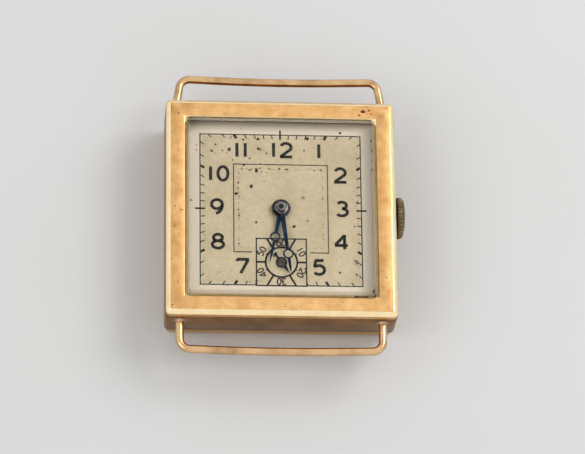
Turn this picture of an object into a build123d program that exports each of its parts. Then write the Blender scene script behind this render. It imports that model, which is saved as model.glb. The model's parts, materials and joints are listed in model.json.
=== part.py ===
from build123d import *

import math
import os

# A square hand-wound wrist watch with wire lugs, lying on its back.
# The origin is the centre of the flat back. +Z leaves the dial, +Y points to 12, +X to 3 and the crown.

# Case
case_side = 25.4
case_corner = 0.55
band_height = 4.2
band_wall = 1.1
back_height = 2.7
back_floor = 0.45
back_wall = 0.35
back_rounding = 1.6
back_inset = 0.2
bezel_height = 1.1
bezel_rim = 2.4
bezel_chamfer = 0.48
bezel_chamfer_share = 0.9
bezel_bevel = 0.35
bezel_lip = 0.5
bezel_seat = 0.45
skirt_depth = 0.7
skirt_wall = 0.4
shoulder_width = 0.5
shoulder_height = 0.4
snap_depth = 0.6
ring_wall = 1.15
ring_flange = 0.3

# Crystal
crystal_rise = 0.9
crystal_wall = 0.35
crystal_plate = 0.45
crystal_bevel = 0.35
crystal_dome = 0.35

# Wire lugs
wire_diameter = 0.9
wire_corner = 1.15
wire_bend_share = 0.6
wire_drop = 2.2
upper_wire_inset = 1.18
upper_wire_reach = 3.3
upper_wire_lean_width = 0.55
upper_wire_bow = -0.36
lower_wire_inset = 1.6
lower_wire_reach = 3.3
lower_wire_lean_width = 0.0
lower_wire_bow = 0.3

# Crown, stem and winding parts
crown_diameter = 4.6
crown_thickness = 1.0
crown_gap = 0.2
crown_dome = 0.42
crown_flutes = 30
crown_bore = 1.15
tube_radius = 0.8
tube_length = 0.55
stem_drop = 1.95
stem_radius = 0.45
stem_groove_radius = 0.26
stem_groove_width = 0.34
stem_square = 0.6
stem_pivot_radius = 0.22
crown_pull = 0.5
clutch_travel = 0.6
clutch_radius = 1.0
clutch_groove_radius = 0.6
clutch_groove_width = 0.48
face_tooth = 0.12
face_ring_width = 0.4
winding_pinion_teeth = 15
winding_pinion_width = 0.8

# Dial and hands
dial_thickness = 0.35
dial_foot_radius = 0.3
dial_foot_length = 0.7
dial_screw_radius = 0.22
seconds_drop = 6.25
seconds_gap = 0.12
seconds_thickness = 0.07
seconds_length = 1.65
seconds_tail = 1.15
seconds_hub = 0.62
seconds_ring = 0.2
hour_gap = 0.3
hour_thickness = 0.12
hour_length = 6.6
hour_ring_place = 3.45
hour_ring = 0.57
hour_hub = 1.05
minute_gap = 0.16
minute_thickness = 0.12
minute_length = 7.8
minute_ring_place = 5.5
minute_ring = 0.58
minute_hub = 0.78
hand_root = 0.62
hand_stalk = 0.35
hand_tip_width = 0.36
hand_point_width = 0.28
hand_point_share = 0.6
hand_tail_width = 0.18
hand_band = 0.17
cannon_rise = 0.2
cannon_radius = 0.45
pipe_radius = 0.68
hour_angle = -101.5
minute_angle = -82.5
seconds_angle = -55.0

# Movement plates
plate_thickness = 1.7
motion_depth = 0.85
train_space = 1.75
bridge_thickness = 0.85
wheel_recess = 0.35
pallet_bridge_space = 0.7
pallet_bridge_thickness = 0.28

# Gearing: teeth, and modules as shares of the plate's radius
barrel_teeth = 84
centre_pinion_teeth = 12
centre_teeth = 80
third_pinion_teeth = 10
third_teeth = 75
fourth_pinion_teeth = 10
fourth_teeth = 80
escape_pinion_teeth = 8
escape_teeth = 15
cannon_teeth = 12
minute_wheel_teeth = 36
minute_pinion_teeth = 10
hour_wheel_teeth = 40
setting_teeth = 20
ratchet_teeth = 36
crown_wheel_teeth = 30
crown_face_teeth = 16
barrel_module_share = 0.0105
centre_module_share = 0.0096
third_module_share = 0.0086
escape_module_share = 0.0072
ratchet_module_share = 0.0188
escape_radius_share = 0.19
balance_radius_share = 0.37
balance_place_share = (-0.5, -0.03)
tip_share = 0.85
root_share = 1.2
crest_half_share = 0.11
flank_half_share = 0.24

# Thicknesses and fine sizes of the moving parts
wheel_thickness = 0.15
winding_wheel_thickness = 0.3
barrel_height = 1.35
barrel_wall = 0.22
barrel_cover_thickness = 0.18
arbor_radius = 0.24
pivot_radius = 0.1
staff_pivot_radius = 0.07
post_radius = 0.2
spring_thickness = 0.12
spring_pitch = 0.34
spring_turns = 8
hairspring_thickness = 0.06
hairspring_height = 0.16
hairspring_pitch = 0.2
hairspring_turns = 9
balance_thickness = 0.25
balance_rim = 0.35
balance_screw_radius = 0.13
balance_screw_length = 0.24
balance_screw_count = 14
lever_thickness = 0.2
jewel_radius = 0.55
jewel_thickness = 0.3
screw_head = 0.6
screw_head_height = 0.25
screw_shank = 0.3
screw_length = 2.6
slot_width = 0.14
slot_depth = 0.12

# Clearances
fit_gap = 0.03
seat_gap = 0.05
run_gap = 0.12
overrun = 1.0

# Levels
band_low = back_height
band_high = band_low + band_height
front = band_high + bezel_height
dial_top = band_high - seat_gap
plate_high = dial_top - dial_thickness
plate_low = plate_high - plate_thickness
motion_floor = plate_high - motion_depth
bridge_high = plate_low - train_space
bridge_low = bridge_high - bridge_thickness
recess_floor = bridge_low + wheel_recess
stem_level = dial_top - stem_drop
wire_level = front - wire_drop

# Case half sizes
case_half = case_side / 2
upper_wire_span = case_side - 2 * upper_wire_inset
lower_wire_span = case_side - 2 * lower_wire_inset
inner_half = case_half - band_wall
skirt_half = inner_half - fit_gap
dial_half = skirt_half - skirt_wall - seat_gap
opening_half = case_half - bezel_rim
seat_half = opening_half + bezel_seat
plate_radius = inner_half - fit_gap - ring_wall - fit_gap
plate_neck = plate_radius - ring_flange
bridge_radius = plate_neck - ring_flange / 2
skirt_low = band_high - skirt_depth
ring_high = skirt_low - seat_gap
ring_low = band_low + shoulder_height
flange_level = (plate_low + plate_high) / 2

# Modules and places of the wheels
barrel_module = plate_radius * barrel_module_share
centre_module = plate_radius * centre_module_share
third_module = plate_radius * third_module_share
escape_module = plate_radius * escape_module_share
ratchet_module = plate_radius * ratchet_module_share
escape_radius = plate_radius * escape_radius_share
balance_radius = plate_radius * balance_radius_share


def polar(origin, angle, distance):
    """The point at a distance and an angle in degrees from an origin."""
    x = origin[0] + distance * math.cos(math.radians(angle))
    y = origin[1] + distance * math.sin(math.radians(angle))
    return (x, y)


def bearing(start, end):
    """The angle in degrees from one point to another."""
    return math.degrees(math.atan2(end[1] - start[1], end[0] - start[0]))


def gear_distance(teeth_a, teeth_b, module):
    """The distance between the axes of two wheels in mesh."""
    return (teeth_a + teeth_b) * module / 2


def tip_radius(teeth, module):
    """The outer radius of a toothed wheel."""
    return (teeth / 2 + tip_share) * module


def meet(first, first_reach, second, second_reach):
    """The point at given distances from two others, on the right of the way from first to second."""
    span = math.dist(first, second)
    along = (first_reach**2 - second_reach**2 + span**2) / (2 * span)
    aside = math.sqrt(first_reach**2 - along**2)
    return polar(polar(first, bearing(first, second), along), bearing(first, second) + 90, aside)


centre_place = (0, 0)
fourth_place = (0, -seconds_drop)
barrel_angle = 65
escape_angle = 150
centre_third = gear_distance(centre_teeth, third_pinion_teeth, centre_module)
third_fourth = gear_distance(third_teeth, fourth_pinion_teeth, third_module)
fourth_escape = gear_distance(fourth_teeth, escape_pinion_teeth, escape_module)
barrel_centre = gear_distance(barrel_teeth, centre_pinion_teeth, barrel_module)
barrel_place = polar(centre_place, barrel_angle, barrel_centre)
third_place = meet(centre_place, centre_third, fourth_place, third_fourth)
escape_place = polar(fourth_place, escape_angle, fourth_escape)
balance_place = (plate_radius * balance_place_share[0], plate_radius * balance_place_share[1])
pallet_reach = escape_radius / math.cos(math.radians(30))
pallet_line = bearing(escape_place, balance_place)
pallet_place = polar(escape_place, pallet_line, pallet_reach)
fork_length = math.dist(pallet_place, balance_place)
impulse_radius = fork_length * 0.24

barrel_tip = tip_radius(barrel_teeth, barrel_module)
centre_tip = tip_radius(centre_teeth, centre_module)
third_tip = tip_radius(third_teeth, third_module)
fourth_tip = tip_radius(fourth_teeth, escape_module)

winding_distance = gear_distance(ratchet_teeth, crown_wheel_teeth, ratchet_module)
crown_wheel_x = barrel_place[0] + math.sqrt(winding_distance**2 - barrel_place[1] ** 2)
crown_wheel_place = (crown_wheel_x, 0)
ratchet_tip = tip_radius(ratchet_teeth, ratchet_module)
crown_wheel_tip = tip_radius(crown_wheel_teeth, ratchet_module)
click_place = polar(barrel_place, 150, ratchet_tip + 2 * screw_shank + post_radius)

motion_distance = gear_distance(cannon_teeth, minute_wheel_teeth, centre_module)
hour_module = 2 * motion_distance / (hour_wheel_teeth + minute_pinion_teeth)
minute_wheel_angle = -30
setting_angle = 20
minute_wheel_place = polar(centre_place, minute_wheel_angle, motion_distance)
setting_distance = gear_distance(minute_wheel_teeth, setting_teeth, centre_module)
setting_place = polar(minute_wheel_place, setting_angle, setting_distance)
setting_tip = tip_radius(setting_teeth, centre_module)

# Places along the stem
winding_pinion_tip = plate_high - stem_level - run_gap
winding_pinion_module = winding_pinion_tip / (winding_pinion_teeth / 2 + tip_share)
face_ring_radius = winding_distance - barrel_tip - run_gap - face_ring_width / 2
winding_x = crown_wheel_place[0] + face_ring_radius
winding_low = winding_x - winding_pinion_width / 2
winding_high = winding_x + winding_pinion_width / 2
groove_x = winding_high + stem_groove_width
clutch_low = setting_place[0] + setting_tip + clutch_travel
clutch_high = winding_low - face_tooth - fit_gap
clutch_groove_x = (clutch_low + clutch_high) / 2
cavity_low = clutch_low - clutch_travel - run_gap
cavity_high = winding_high + fit_gap
cavity_half = winding_pinion_tip + run_gap
pivot_end = cavity_low - stem_groove_width * 2
crown_low = case_half + crown_gap
crown_high = crown_low + crown_thickness

# Levels of the wheels
centre_level = plate_low - wheel_thickness - run_gap / 2
escape_level = centre_level - wheel_thickness - 2 * run_gap
fourth_level = escape_level - wheel_thickness - 2.2 * run_gap
third_level = bridge_high + 2 * run_gap
barrel_low = bridge_high + seat_gap
barrel_high = barrel_low + barrel_height
barrel_teeth_level = barrel_high - 0.3 * barrel_height
balance_level = bridge_high + hairspring_height + 2.5 * run_gap
pallet_bridge_low = plate_low - pallet_bridge_space - pallet_bridge_thickness
pallet_bridge_high = pallet_bridge_low + pallet_bridge_thickness
pallet_screw_level = pallet_bridge_low + screw_head_height
minute_wheel_level = motion_floor + seat_gap
hour_wheel_level = minute_wheel_level + 2 * wheel_thickness + run_gap / 2
lever_level = motion_floor + seat_gap
setting_bridge_level = lever_level + lever_thickness + seat_gap
seconds_level = dial_top + seconds_gap
hour_level = seconds_level + seconds_thickness + hour_gap / 2
minute_level = hour_level + hour_thickness + minute_gap
cannon_high = minute_level + minute_thickness + cannon_rise

STAND = (Align.CENTER, Align.CENTER, Align.MIN)
UP = (0, 0, 1)


def disc(radius, low, high, at=centre_place):
    """A round plate between two levels."""
    return Pos(at[0], at[1], low) * Cylinder(radius, high - low, align=STAND)


def tube(outer, inner, low, high, at=centre_place):
    """A round plate with a hole, between two levels."""
    hole = disc(inner, low - overrun, high + overrun, at)
    return disc(outer, low, high, at) - hole


def rod(radius, low, high, level=stem_level):
    """A round rod along X between two places."""
    return Pos(low, 0, level) * Rot(0, 90, 0) * Cylinder(radius, high - low, align=STAND)


def square(half, corner, low, high):
    """A square block with rounded corners in plan, between two levels."""
    face = RectangleRounded(2 * half, 2 * half, corner)
    return extrude(Pos(0, 0, low) * face, high - low, dir=UP)


def box(low, high):
    """A block between two corners."""
    size = [b - a for a, b in zip(low, high)]
    middle = [(a + b) / 2 for a, b in zip(low, high)]
    return Pos(*middle) * Box(*size)


def link(start, end, width, low, high):
    """A bar with round ends between two places."""
    middle = ((start[0] + end[0]) / 2, (start[1] + end[1]) / 2)
    face = SlotCenterToCenter(math.dist(start, end), width)
    place = Pos(middle[0], middle[1], low) * Rot(0, 0, bearing(start, end))
    return extrude(place * face, high - low, dir=UP)


def slab(points, low, high):
    """A flat piece with a straight-sided outline."""
    face = make_face(Polyline(*points, close=True))
    return extrude(Pos(0, 0, low) * face, high - low, dir=UP)


def shares(table):
    """The points of an outline written in shares of the plate's radius."""
    return [(plate_radius * x, plate_radius * y) for x, y in table]


def mesh_phase(teeth, phase, direction, other_teeth):
    """The phase that puts a wheel in mesh with one whose teeth, phase and direction are given."""
    part_turn = ((direction - phase) / (360 / teeth)) % 1
    return direction + 180 + (part_turn + 0.5) * 360 / other_teeth


def toothed_face(teeth, module, phase, at):
    """The outline of a toothed wheel: each tooth has two root points and two tip points."""
    root = (teeth / 2 - root_share) * module
    tip = tip_radius(teeth, module)
    rise = ((root, -flank_half_share), (tip, -crest_half_share))
    fall = ((tip, crest_half_share), (root, flank_half_share))
    points = []
    for index in range(teeth):
        for radius, share in rise + fall:
            points.append(polar(at, phase + (index + share) * 360 / teeth, radius))
    return make_face(Polyline(*points, close=True))


def toothed(teeth, module, low, high, phase=0.0, at=centre_place):
    """A solid toothed wheel or pinion between two levels."""
    return extrude(Pos(0, 0, low) * toothed_face(teeth, module, phase, at), high - low, dir=UP)


def crossed(radius, rim, hub, low, high, at, arms=4, turn=0.0):
    """The windows between a wheel's arms, which leave its rim, hub and arms standing."""
    windows = tube(radius - rim, hub, low - overrun, high + overrun, at)
    for index in range(arms):
        end = polar(at, turn + index * 360 / arms, radius)
        windows -= link(at, end, rim, low - 2 * overrun, high + 2 * overrun)
    return windows


def spoked(teeth, module, low, phase, at, bore, arms=4):
    """A thin toothed wheel with arms and a hole for its arbor."""
    high = low + wheel_thickness
    radius = teeth * module / 2
    wheel = toothed(teeth, module, low, high, phase, at)
    wheel -= crossed(radius, 3 * module, 2.2 * bore, low, high, at, arms, phase)
    return wheel - disc(bore, low - overrun, high + overrun, at)


def arbor(at, low, high, radius=arbor_radius, pivot=pivot_radius, pivot_length=jewel_thickness):
    """A shaft with a fine pivot at each end."""
    shaft = disc(radius, low + run_gap / 2, high - run_gap / 2, at)
    return shaft + disc(pivot, low - pivot_length, high + pivot_length, at)


def face_teeth(count, outer, inner, low, high, at):
    """A ring of upright teeth, cut by radial slots."""
    ring = tube(outer, inner, low, high, at)
    slot = math.pi * (outer + inner) / count / 2
    for index in range(count):
        end = polar(at, (index + 0.5) * 360 / count, 2 * outer)
        ring -= link(at, end, slot, low, high + overrun)
    return ring


def hand(
    length, ring_place, ring, hub, bore, low, thickness, angle, tail=0.0, tail_ring=0.0, at=centre_place
):
    """A hand with an open ring near its point and a round hub."""
    high = low + thickness
    band = min(hand_band, ring / 2)
    ring_at = polar(at, angle, ring_place)
    tip = polar(at, angle, length)
    body = disc(hub, low, high, at)
    neck = polar(at, angle, ring_place - ring + band / 2)
    roots = [polar(at, angle + side, hand_root / 2) for side in (90, -90)]
    ends = [polar(neck, angle + side, hand_stalk / 2) for side in (-90, 90)]
    body += slab(roots + ends, low, high)
    base = polar(at, angle, ring_place + ring - band)
    point = polar(base, angle, (length - ring_place - ring + band) * hand_point_share)
    sides = [polar(base, angle + side, hand_tip_width / 2) for side in (90, -90)]
    shoulders = [polar(point, angle + side, hand_point_width / 2) for side in (90, -90)]
    body += slab([sides[0], shoulders[0], tip, shoulders[1], sides[1]], low, high)
    body += disc(ring, low, high, ring_at)
    body -= disc(ring - band, low - overrun, high + overrun, ring_at)
    if tail > 0:
        end = polar(at, angle + 180, tail)
        body += link(at, end, hand_tail_width, low, high)
        body += disc(tail_ring, low, high, end)
    return body - disc(bore, low - overrun, high + overrun, at)


def spiral(inner, pitch, thickness, turns, low, high, at):
    """A flat spiral strip, wound from half circles."""
    def edge(start):
        x = at[0] + start
        for index in range(2 * turns):
            side = 1 if index % 2 == 0 else -1
            radius = start + index * pitch / 2 + pitch / 4
            yield x, side, radius
            x -= side * 2 * radius

    arcs = []
    ends = []
    for start in (inner, inner + thickness):
        for x, side, radius in edge(start):
            middle = (x - side * radius, at[1] + side * radius)
            finish = (x - side * 2 * radius, at[1])
            arcs.append(ThreePointArc((x, at[1]), middle, finish))
        ends.append(finish)
    caps = [Line((at[0] + inner, at[1]), (at[0] + inner + thickness, at[1])), Line(ends[0], ends[1])]
    face = make_face(Curve() + arcs + caps)
    return extrude(Pos(0, 0, low) * face, high - low, dir=UP)


def slotted_screw(at, head, low, shank, length, turn=0.0):
    """A cheese-head screw whose head hangs below a level and whose shank runs up."""
    screw = disc(head, low - screw_head_height, low, at)
    cut = link(polar(at, turn, -2 * head), polar(at, turn, 2 * head), slot_width, low - overrun, low)
    screw -= Pos(0, 0, slot_depth - screw_head_height) * cut
    return screw + disc(shank, low, low + length, at)


# Places of screws and levers
barrel_screws = [polar(centre_place, angle, plate_radius * 0.85) for angle in (25, 125)]
train_screws = [polar(centre_place, angle, plate_radius * 0.85) for angle in (-40, -113)]
cock_line = 245
cock_screw = polar(balance_place, cock_line, (balance_radius + balance_screw_length) * 1.33)
pallet_foot = polar(pallet_place, pallet_line + 90, 0.95 * escape_radius + pivot_radius * 2)
pallet_foot_radius = escape_radius * 0.33
case_screws = [polar(centre_place, angle, plate_neck) for angle in (105, -100)]
case_screw_head = screw_head * 1.3
dial_feet = [(-0.66 * plate_radius, 0.58 * plate_radius), (0.66 * plate_radius, -0.58 * plate_radius)]
lever_pivot = (groove_x - 1.7 * clutch_travel, 2.8 * clutch_radius)
lever_bend = (groove_x + fit_gap, cavity_half - run_gap)
lever_nose = (groove_x, stem_groove_width / 2)
yoke_pivot = (clutch_groove_x - 1.8 * clutch_travel, 3.3 * clutch_radius)
yoke_bend = (clutch_groove_x, 1.7 * clutch_radius)
yoke_nose = (clutch_groove_x, stem_groove_width / 2)
keyless_post = screw_shank * 0.8

# Phases that put the wheels in mesh at rest
fourth_phase = 0.0
third_pinion_phase = 0.0
third_bearing = bearing(fourth_place, third_place)
third_wheel_phase = mesh_phase(fourth_pinion_teeth, fourth_phase, third_bearing, third_teeth)
centre_bearing = bearing(third_place, centre_place)
centre_phase = mesh_phase(third_pinion_teeth, third_pinion_phase, centre_bearing, centre_teeth)
barrel_phase = mesh_phase(centre_pinion_teeth, 0.0, barrel_angle, barrel_teeth)
escape_pinion_phase = mesh_phase(fourth_teeth, fourth_phase, escape_angle, escape_pinion_teeth)
minute_wheel_phase = mesh_phase(cannon_teeth, 0.0, minute_wheel_angle, minute_wheel_teeth)
setting_phase = mesh_phase(minute_wheel_teeth, minute_wheel_phase, setting_angle, setting_teeth)
hour_phase = mesh_phase(minute_pinion_teeth, 0.0, minute_wheel_angle + 180, hour_wheel_teeth)
winding_angle = bearing(barrel_place, crown_wheel_place)
crown_wheel_phase = mesh_phase(ratchet_teeth, 0.0, winding_angle, crown_wheel_teeth)

balance_reach = balance_radius + balance_screw_length
balance_room = disc(balance_reach + 2 * run_gap, bridge_low - overrun, plate_low, balance_place)


def case_band():
    """The middle of the case: a square band with a shoulder inside and a snap lip below."""
    band = square(case_half, case_corner, band_low, band_high)
    band -= square(inner_half, case_corner, ring_low, band_high + overrun)
    band -= square(inner_half - shoulder_width, case_corner, band_low - overrun, ring_low + overrun)
    lip = inner_half + back_wall
    snap = square(lip, case_corner, band_low - snap_depth, band_low)
    snap -= square(inner_half, case_corner, band_low - snap_depth - overrun, band_low)
    band += snap
    return band - rod(tube_radius, inner_half - overrun, case_half + overrun)


def case_back():
    """The snap-on back: a square pan with rounded-in sides and a flat to rest on."""
    half = case_half - back_inset
    pan = square(half, case_corner, 0, back_height - seat_gap)
    pan = fillet(pan.edges().group_by(Axis.Z)[0], back_rounding)
    inside = inner_half + back_wall + fit_gap
    room = square(inside, case_corner, back_height - snap_depth - seat_gap, back_height + overrun)
    hollow_half = inner_half - shoulder_width
    hollow = square(hollow_half, case_corner, back_floor, back_height + overrun)
    hollow = fillet(hollow.edges().group_by(Axis.Z)[0], back_rounding - back_floor)
    return pan - room - hollow


def bezel():
    """The square bezel with its polished outer chamfer, seat for the crystal and snap skirt."""
    frame = square(case_half, case_corner, band_high, front)
    outer_chamfer = min(bezel_chamfer, bezel_chamfer_share * case_corner)
    frame = chamfer(frame.edges().group_by(Axis.Z)[-1], outer_chamfer)
    window = square(opening_half, case_corner, band_high, front)
    frame -= window
    mouth = square(opening_half + bezel_bevel, case_corner, front - bezel_bevel, front)
    mouth = chamfer(mouth.edges().group_by(Axis.Z)[0], bezel_bevel * 0.98)
    frame -= mouth
    frame -= square(seat_half, case_corner, band_high - overrun, front - bezel_lip)
    skirt = square(skirt_half, case_corner, skirt_low, band_high)
    skirt -= square(skirt_half - skirt_wall, case_corner, skirt_low - overrun, band_high + overrun)
    return frame + skirt


def crystal():
    """The square crystal: a skirt on the dial's edge, and a slightly domed plate in the bezel."""
    seat = front - bezel_lip - fit_gap
    top = front + crystal_rise
    half = seat_half - fit_gap
    plate_half = opening_half - fit_gap
    glass = square(half, case_corner, dial_top + seat_gap, seat)
    crown_glass = square(plate_half, case_corner, seat, top)
    dome_radius = (2 * plate_half**2 + crystal_dome**2) / (2 * crystal_dome)
    crown_glass &= Pos(0, 0, top - dome_radius) * Sphere(dome_radius)
    edge = square(plate_half, case_corner, seat - overrun, top - crystal_bevel)
    edge = chamfer(edge.edges().group_by(Axis.Z)[-1], crystal_bevel)
    rim = square(plate_half, case_corner, seat, top - crystal_bevel)
    rim += crown_glass & square(plate_half - crystal_bevel, case_corner, seat, top)
    under = top - crystal_dome - crystal_plate
    hollow = square(plate_half - crystal_wall, case_corner, dial_top - overrun, under)
    return glass + rim - hollow


def wire_lug(span, reach, lean, bow, side):
    """A bent wire soldered to one side of the band, with a slightly bowed bar, to carry the strap."""
    bar_y = side * (case_half + reach)
    root_y = side * case_half
    bar_half = span / 2 - lean
    middle = (0, bar_y + side * bow)
    points = [(-span / 2, root_y), (-bar_half, bar_y), middle, (bar_half, bar_y), (span / 2, root_y)]
    bow_radius = wire_bend_share * bar_half * math.hypot(bar_half, bow) / abs(bow)
    radii = [wire_corner, bow_radius, wire_corner]
    path = FilletPolyline(*[(x, y, wire_level) for x, y in points], radius=radii)
    start = path @ 0
    section = Plane(origin=start, z_dir=path % 0) * Circle(wire_diameter / 2)
    wire = sweep(section, path=path)
    keep = box(
        (-case_half, min(side * overrun, 2 * bar_y), wire_level - wire_diameter),
        (case_half, max(side * overrun, 2 * bar_y), wire_level + wire_diameter),
    )
    return (wire & keep) - square(case_half, case_corner, band_low, front)


def crown():
    """The fluted winding crown, hollowed to cover its tube."""
    radius = crown_diameter / 2
    module = crown_diameter / (crown_flutes + 2 * tip_share)
    outline = toothed_face(crown_flutes, module, 0.0, centre_place)
    face = Pos(crown_low, 0, stem_level) * Rot(0, 90, 0) * outline
    body = extrude(face, crown_thickness, dir=(1, 0, 0))
    core = rod(radius, crown_low, crown_high)
    core = chamfer(core.edges().group_by(Axis.X)[0], crown_dome * 0.6)
    core = fillet(core.edges().group_by(Axis.X)[-1], crown_dome)
    body &= core
    body -= rod(crown_bore, crown_low - overrun, crown_low + tube_length)
    return body - rod(stem_radius, crown_low - overrun, crown_high - crown_thickness / 4)


def crown_tube():
    """The tube in the case wall that the stem runs through."""
    tube_outer = rod(tube_radius, inner_half, case_half + tube_length)
    return tube_outer - rod(stem_radius + fit_gap, inner_half - overrun, case_half + 2 * overrun)


def movement_ring():
    """The square ring that holds the round movement in the square case."""
    ring = square(inner_half - fit_gap, case_corner, ring_low, ring_high)
    ring -= disc(plate_radius + fit_gap, flange_level, ring_high + overrun)
    ring -= disc(plate_neck + fit_gap, ring_low - overrun, flange_level + overrun)
    for place in case_screws:
        ring -= disc(case_screw_head + run_gap, ring_low - overrun, plate_low, place)
    return ring - rod(tube_radius, plate_neck - overrun, case_half)


def screw_holes(places, shank=screw_shank):
    """The holes for a group of screws that hold a bridge."""
    holes = [disc(shank, bridge_low, bridge_low + screw_length, place) for place in places]
    return Part() + holes


def stem_channel():
    """The room for the stem, its pinions and its inner pivot."""
    top = plate_high + overrun
    pinion_low = winding_low - face_tooth
    room = box((pinion_low, -cavity_half, stem_level - cavity_half), (cavity_high, cavity_half, top))
    clutch_half = clutch_radius + run_gap
    room += box((cavity_low, -clutch_half, stem_level - clutch_half), (cavity_high, clutch_half, top))
    room += rod(stem_radius + run_gap / 2, cavity_low, plate_radius + overrun)
    room += rod(stem_pivot_radius + fit_gap, pivot_end, cavity_low + overrun)
    slot = stem_radius + run_gap / 2
    reach = groove_x + crown_pull + stem_groove_width
    return room + box((cavity_high - fit_gap, -slot, stem_level), (reach, slot + run_gap, top))


def main_plate():
    """The plate that carries the movement, with its dial-side recess for the hand gearing."""
    plate = disc(plate_neck, plate_low, plate_high) + disc(plate_radius, flange_level, plate_high)
    top = plate_high + overrun
    hour_tip = tip_radius(hour_wheel_teeth, hour_module)
    recess = disc(hour_tip + run_gap, motion_floor, top)
    minute_room = tip_radius(minute_wheel_teeth, centre_module) + run_gap
    recess += disc(minute_room, motion_floor, top, minute_wheel_place)
    recess += disc(setting_tip + run_gap, motion_floor, top, setting_place)
    keyless_low = yoke_pivot[0] - 3 * clutch_travel
    keyless_side = yoke_pivot[1] + clutch_radius
    recess += box((keyless_low, -cavity_half, motion_floor), (plate_radius + overrun, keyless_side, top))
    plate -= recess
    plate -= stem_channel()
    plate -= disc(arbor_radius + fit_gap, plate_low - overrun, top)
    for place in (third_place, escape_place, pallet_place, balance_place):
        plate -= disc(jewel_radius, plate_low - overrun, plate_low + jewel_thickness, place)
        plate -= disc(pivot_radius + fit_gap, plate_low, plate_low + 2 * jewel_thickness, place)
    plate -= disc(jewel_radius, plate_low - overrun, plate_low + jewel_thickness, fourth_place)
    plate -= disc(arbor_radius, plate_low - overrun, top, fourth_place)
    for place in dial_feet:
        plate -= disc(dial_foot_radius + fit_gap, plate_high - dial_foot_length - seat_gap, top, place)
        plate -= dial_screw_room(place)
    plate -= screw_holes(barrel_screws + train_screws + [cock_screw])
    plate -= disc(screw_shank * 0.6, plate_low - overrun, plate_low + jewel_thickness, pallet_foot)
    for place in case_screws:
        inner = polar(place, bearing(place, centre_place), screw_shank + run_gap)
        plate -= disc(screw_shank, plate_low - overrun, plate_low + screw_shank * 2, inner)
    for place in (lever_pivot, yoke_pivot):
        plate -= disc(keyless_post, motion_floor - screw_shank * 2, top, place)
    return plate + disc(post_radius, motion_floor - seat_gap, hour_wheel_level, minute_wheel_place) + disc(
        post_radius, motion_floor - seat_gap, motion_floor + 2 * wheel_thickness, setting_place
    )


def dial_screw_room(place):
    """The side hole of a dial foot screw."""
    outward = bearing(centre_place, place)
    level = plate_high - dial_foot_length / 2 - seat_gap
    start = math.dist(centre_place, place) + dial_foot_radius + fit_gap
    hole = Cylinder(dial_screw_radius, plate_radius + fit_gap - start, align=STAND)
    return Rot(0, 0, outward) * Pos(start, 0, level) * Rot(0, 90, 0) * hole


def dial_screws():
    """The two grub screws that clamp the dial's feet from the side."""
    screws = []
    for place in dial_feet:
        screw = dial_screw_room(place)
        screws.append(screw & disc(plate_radius, plate_low, plate_high))
    return Part() + screws


def train_rooms(low):
    """The room that the wheels turn in, below the main plate."""
    rooms = disc(barrel_tip + run_gap, low, plate_low + overrun, barrel_place)
    rooms += disc(centre_tip + run_gap, low, plate_low + overrun)
    rooms += disc(third_tip + run_gap, low, plate_low + overrun, third_place)
    rooms += disc(fourth_tip + run_gap, low, plate_low + overrun, fourth_place)
    return rooms + disc(escape_radius + run_gap, low, plate_low + overrun, escape_place)


def seated(bridge, places):
    """A bridge with a seat for a jewel and a pivot hole at each place."""
    for place in places:
        bridge -= disc(jewel_radius, bridge_high - jewel_thickness, plate_low, place)
        bridge -= disc(pivot_radius + fit_gap, bridge_low - overrun, bridge_high, place)
    return bridge


barrel_bridge_shares = ((-1.2, 0.085), (0.1, 0.085), (0.4, -0.33), (1.2, -0.33), (1.2, 1.2), (-1.2, 1.2))
train_bridge_shares = (
    (-0.42, 0.07), (0.088, 0.07), (0.385, -0.345), (1.2, -0.345), (1.2, -1.2), (-0.42, -1.2),
)


def bridge_blank(outline):
    """A bridge's solid outline, down to the main plate, clear of the wheels and the balance."""
    blank = slab(shares(outline), bridge_low, plate_low) & disc(bridge_radius, bridge_low, plate_low)
    blank -= train_rooms(bridge_high)
    blank -= balance_room
    for place in case_screws:
        blank -= disc(case_screw_head + run_gap, bridge_low - overrun, plate_low + overrun, place)
    return blank


def barrel_bridge():
    """The bridge over the barrel, with recesses for the ratchet and crown wheels."""
    bridge = bridge_blank(barrel_bridge_shares)
    bridge -= disc(ratchet_tip + run_gap, bridge_low - overrun, recess_floor, barrel_place)
    bridge -= disc(crown_wheel_tip + run_gap, bridge_low - overrun, recess_floor, crown_wheel_place)
    groove_low = face_ring_radius - face_ring_width / 2 - run_gap
    groove_high = face_ring_radius + face_ring_width / 2 + run_gap
    groove_floor = stem_level - winding_pinion_tip + 2 * face_tooth
    bridge -= tube(groove_high, groove_low, recess_floor - overrun, groove_floor, crown_wheel_place)
    bridge -= stem_channel()
    bridge -= screw_holes(barrel_screws)
    bridge -= disc(arbor_radius * 2 + fit_gap, bridge_low - overrun, plate_low, barrel_place)
    bridge -= disc(screw_shank, recess_floor - overrun, recess_floor + jewel_thickness, crown_wheel_place)
    click_room = disc(ratchet_module * 4, bridge_low - overrun, recess_floor, click_place)
    bridge -= click_room
    screw_hole = disc(screw_shank * 0.8, recess_floor - overrun, recess_floor + jewel_thickness, click_place)
    return bridge - screw_hole


def train_bridge():
    """The bridge over the centre, third, fourth and escape wheels."""
    bridge = bridge_blank(train_bridge_shares)
    bridge -= screw_holes(train_screws)
    return seated(bridge, (centre_place, third_place, fourth_place, escape_place))


def balance_cock():
    """The cock over the balance, standing on a foot beside it."""
    foot_end = polar(balance_place, cock_line, 2 * balance_reach)
    cock = link(balance_place, foot_end, balance_radius * 0.9, bridge_low, plate_low)
    cock &= disc(bridge_radius, bridge_low, plate_low)
    sweep_room = disc(balance_reach + run_gap, bridge_high, plate_low + overrun, balance_place)
    cock -= sweep_room
    cock -= screw_holes([cock_screw])
    return seated(cock, [balance_place])


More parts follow.
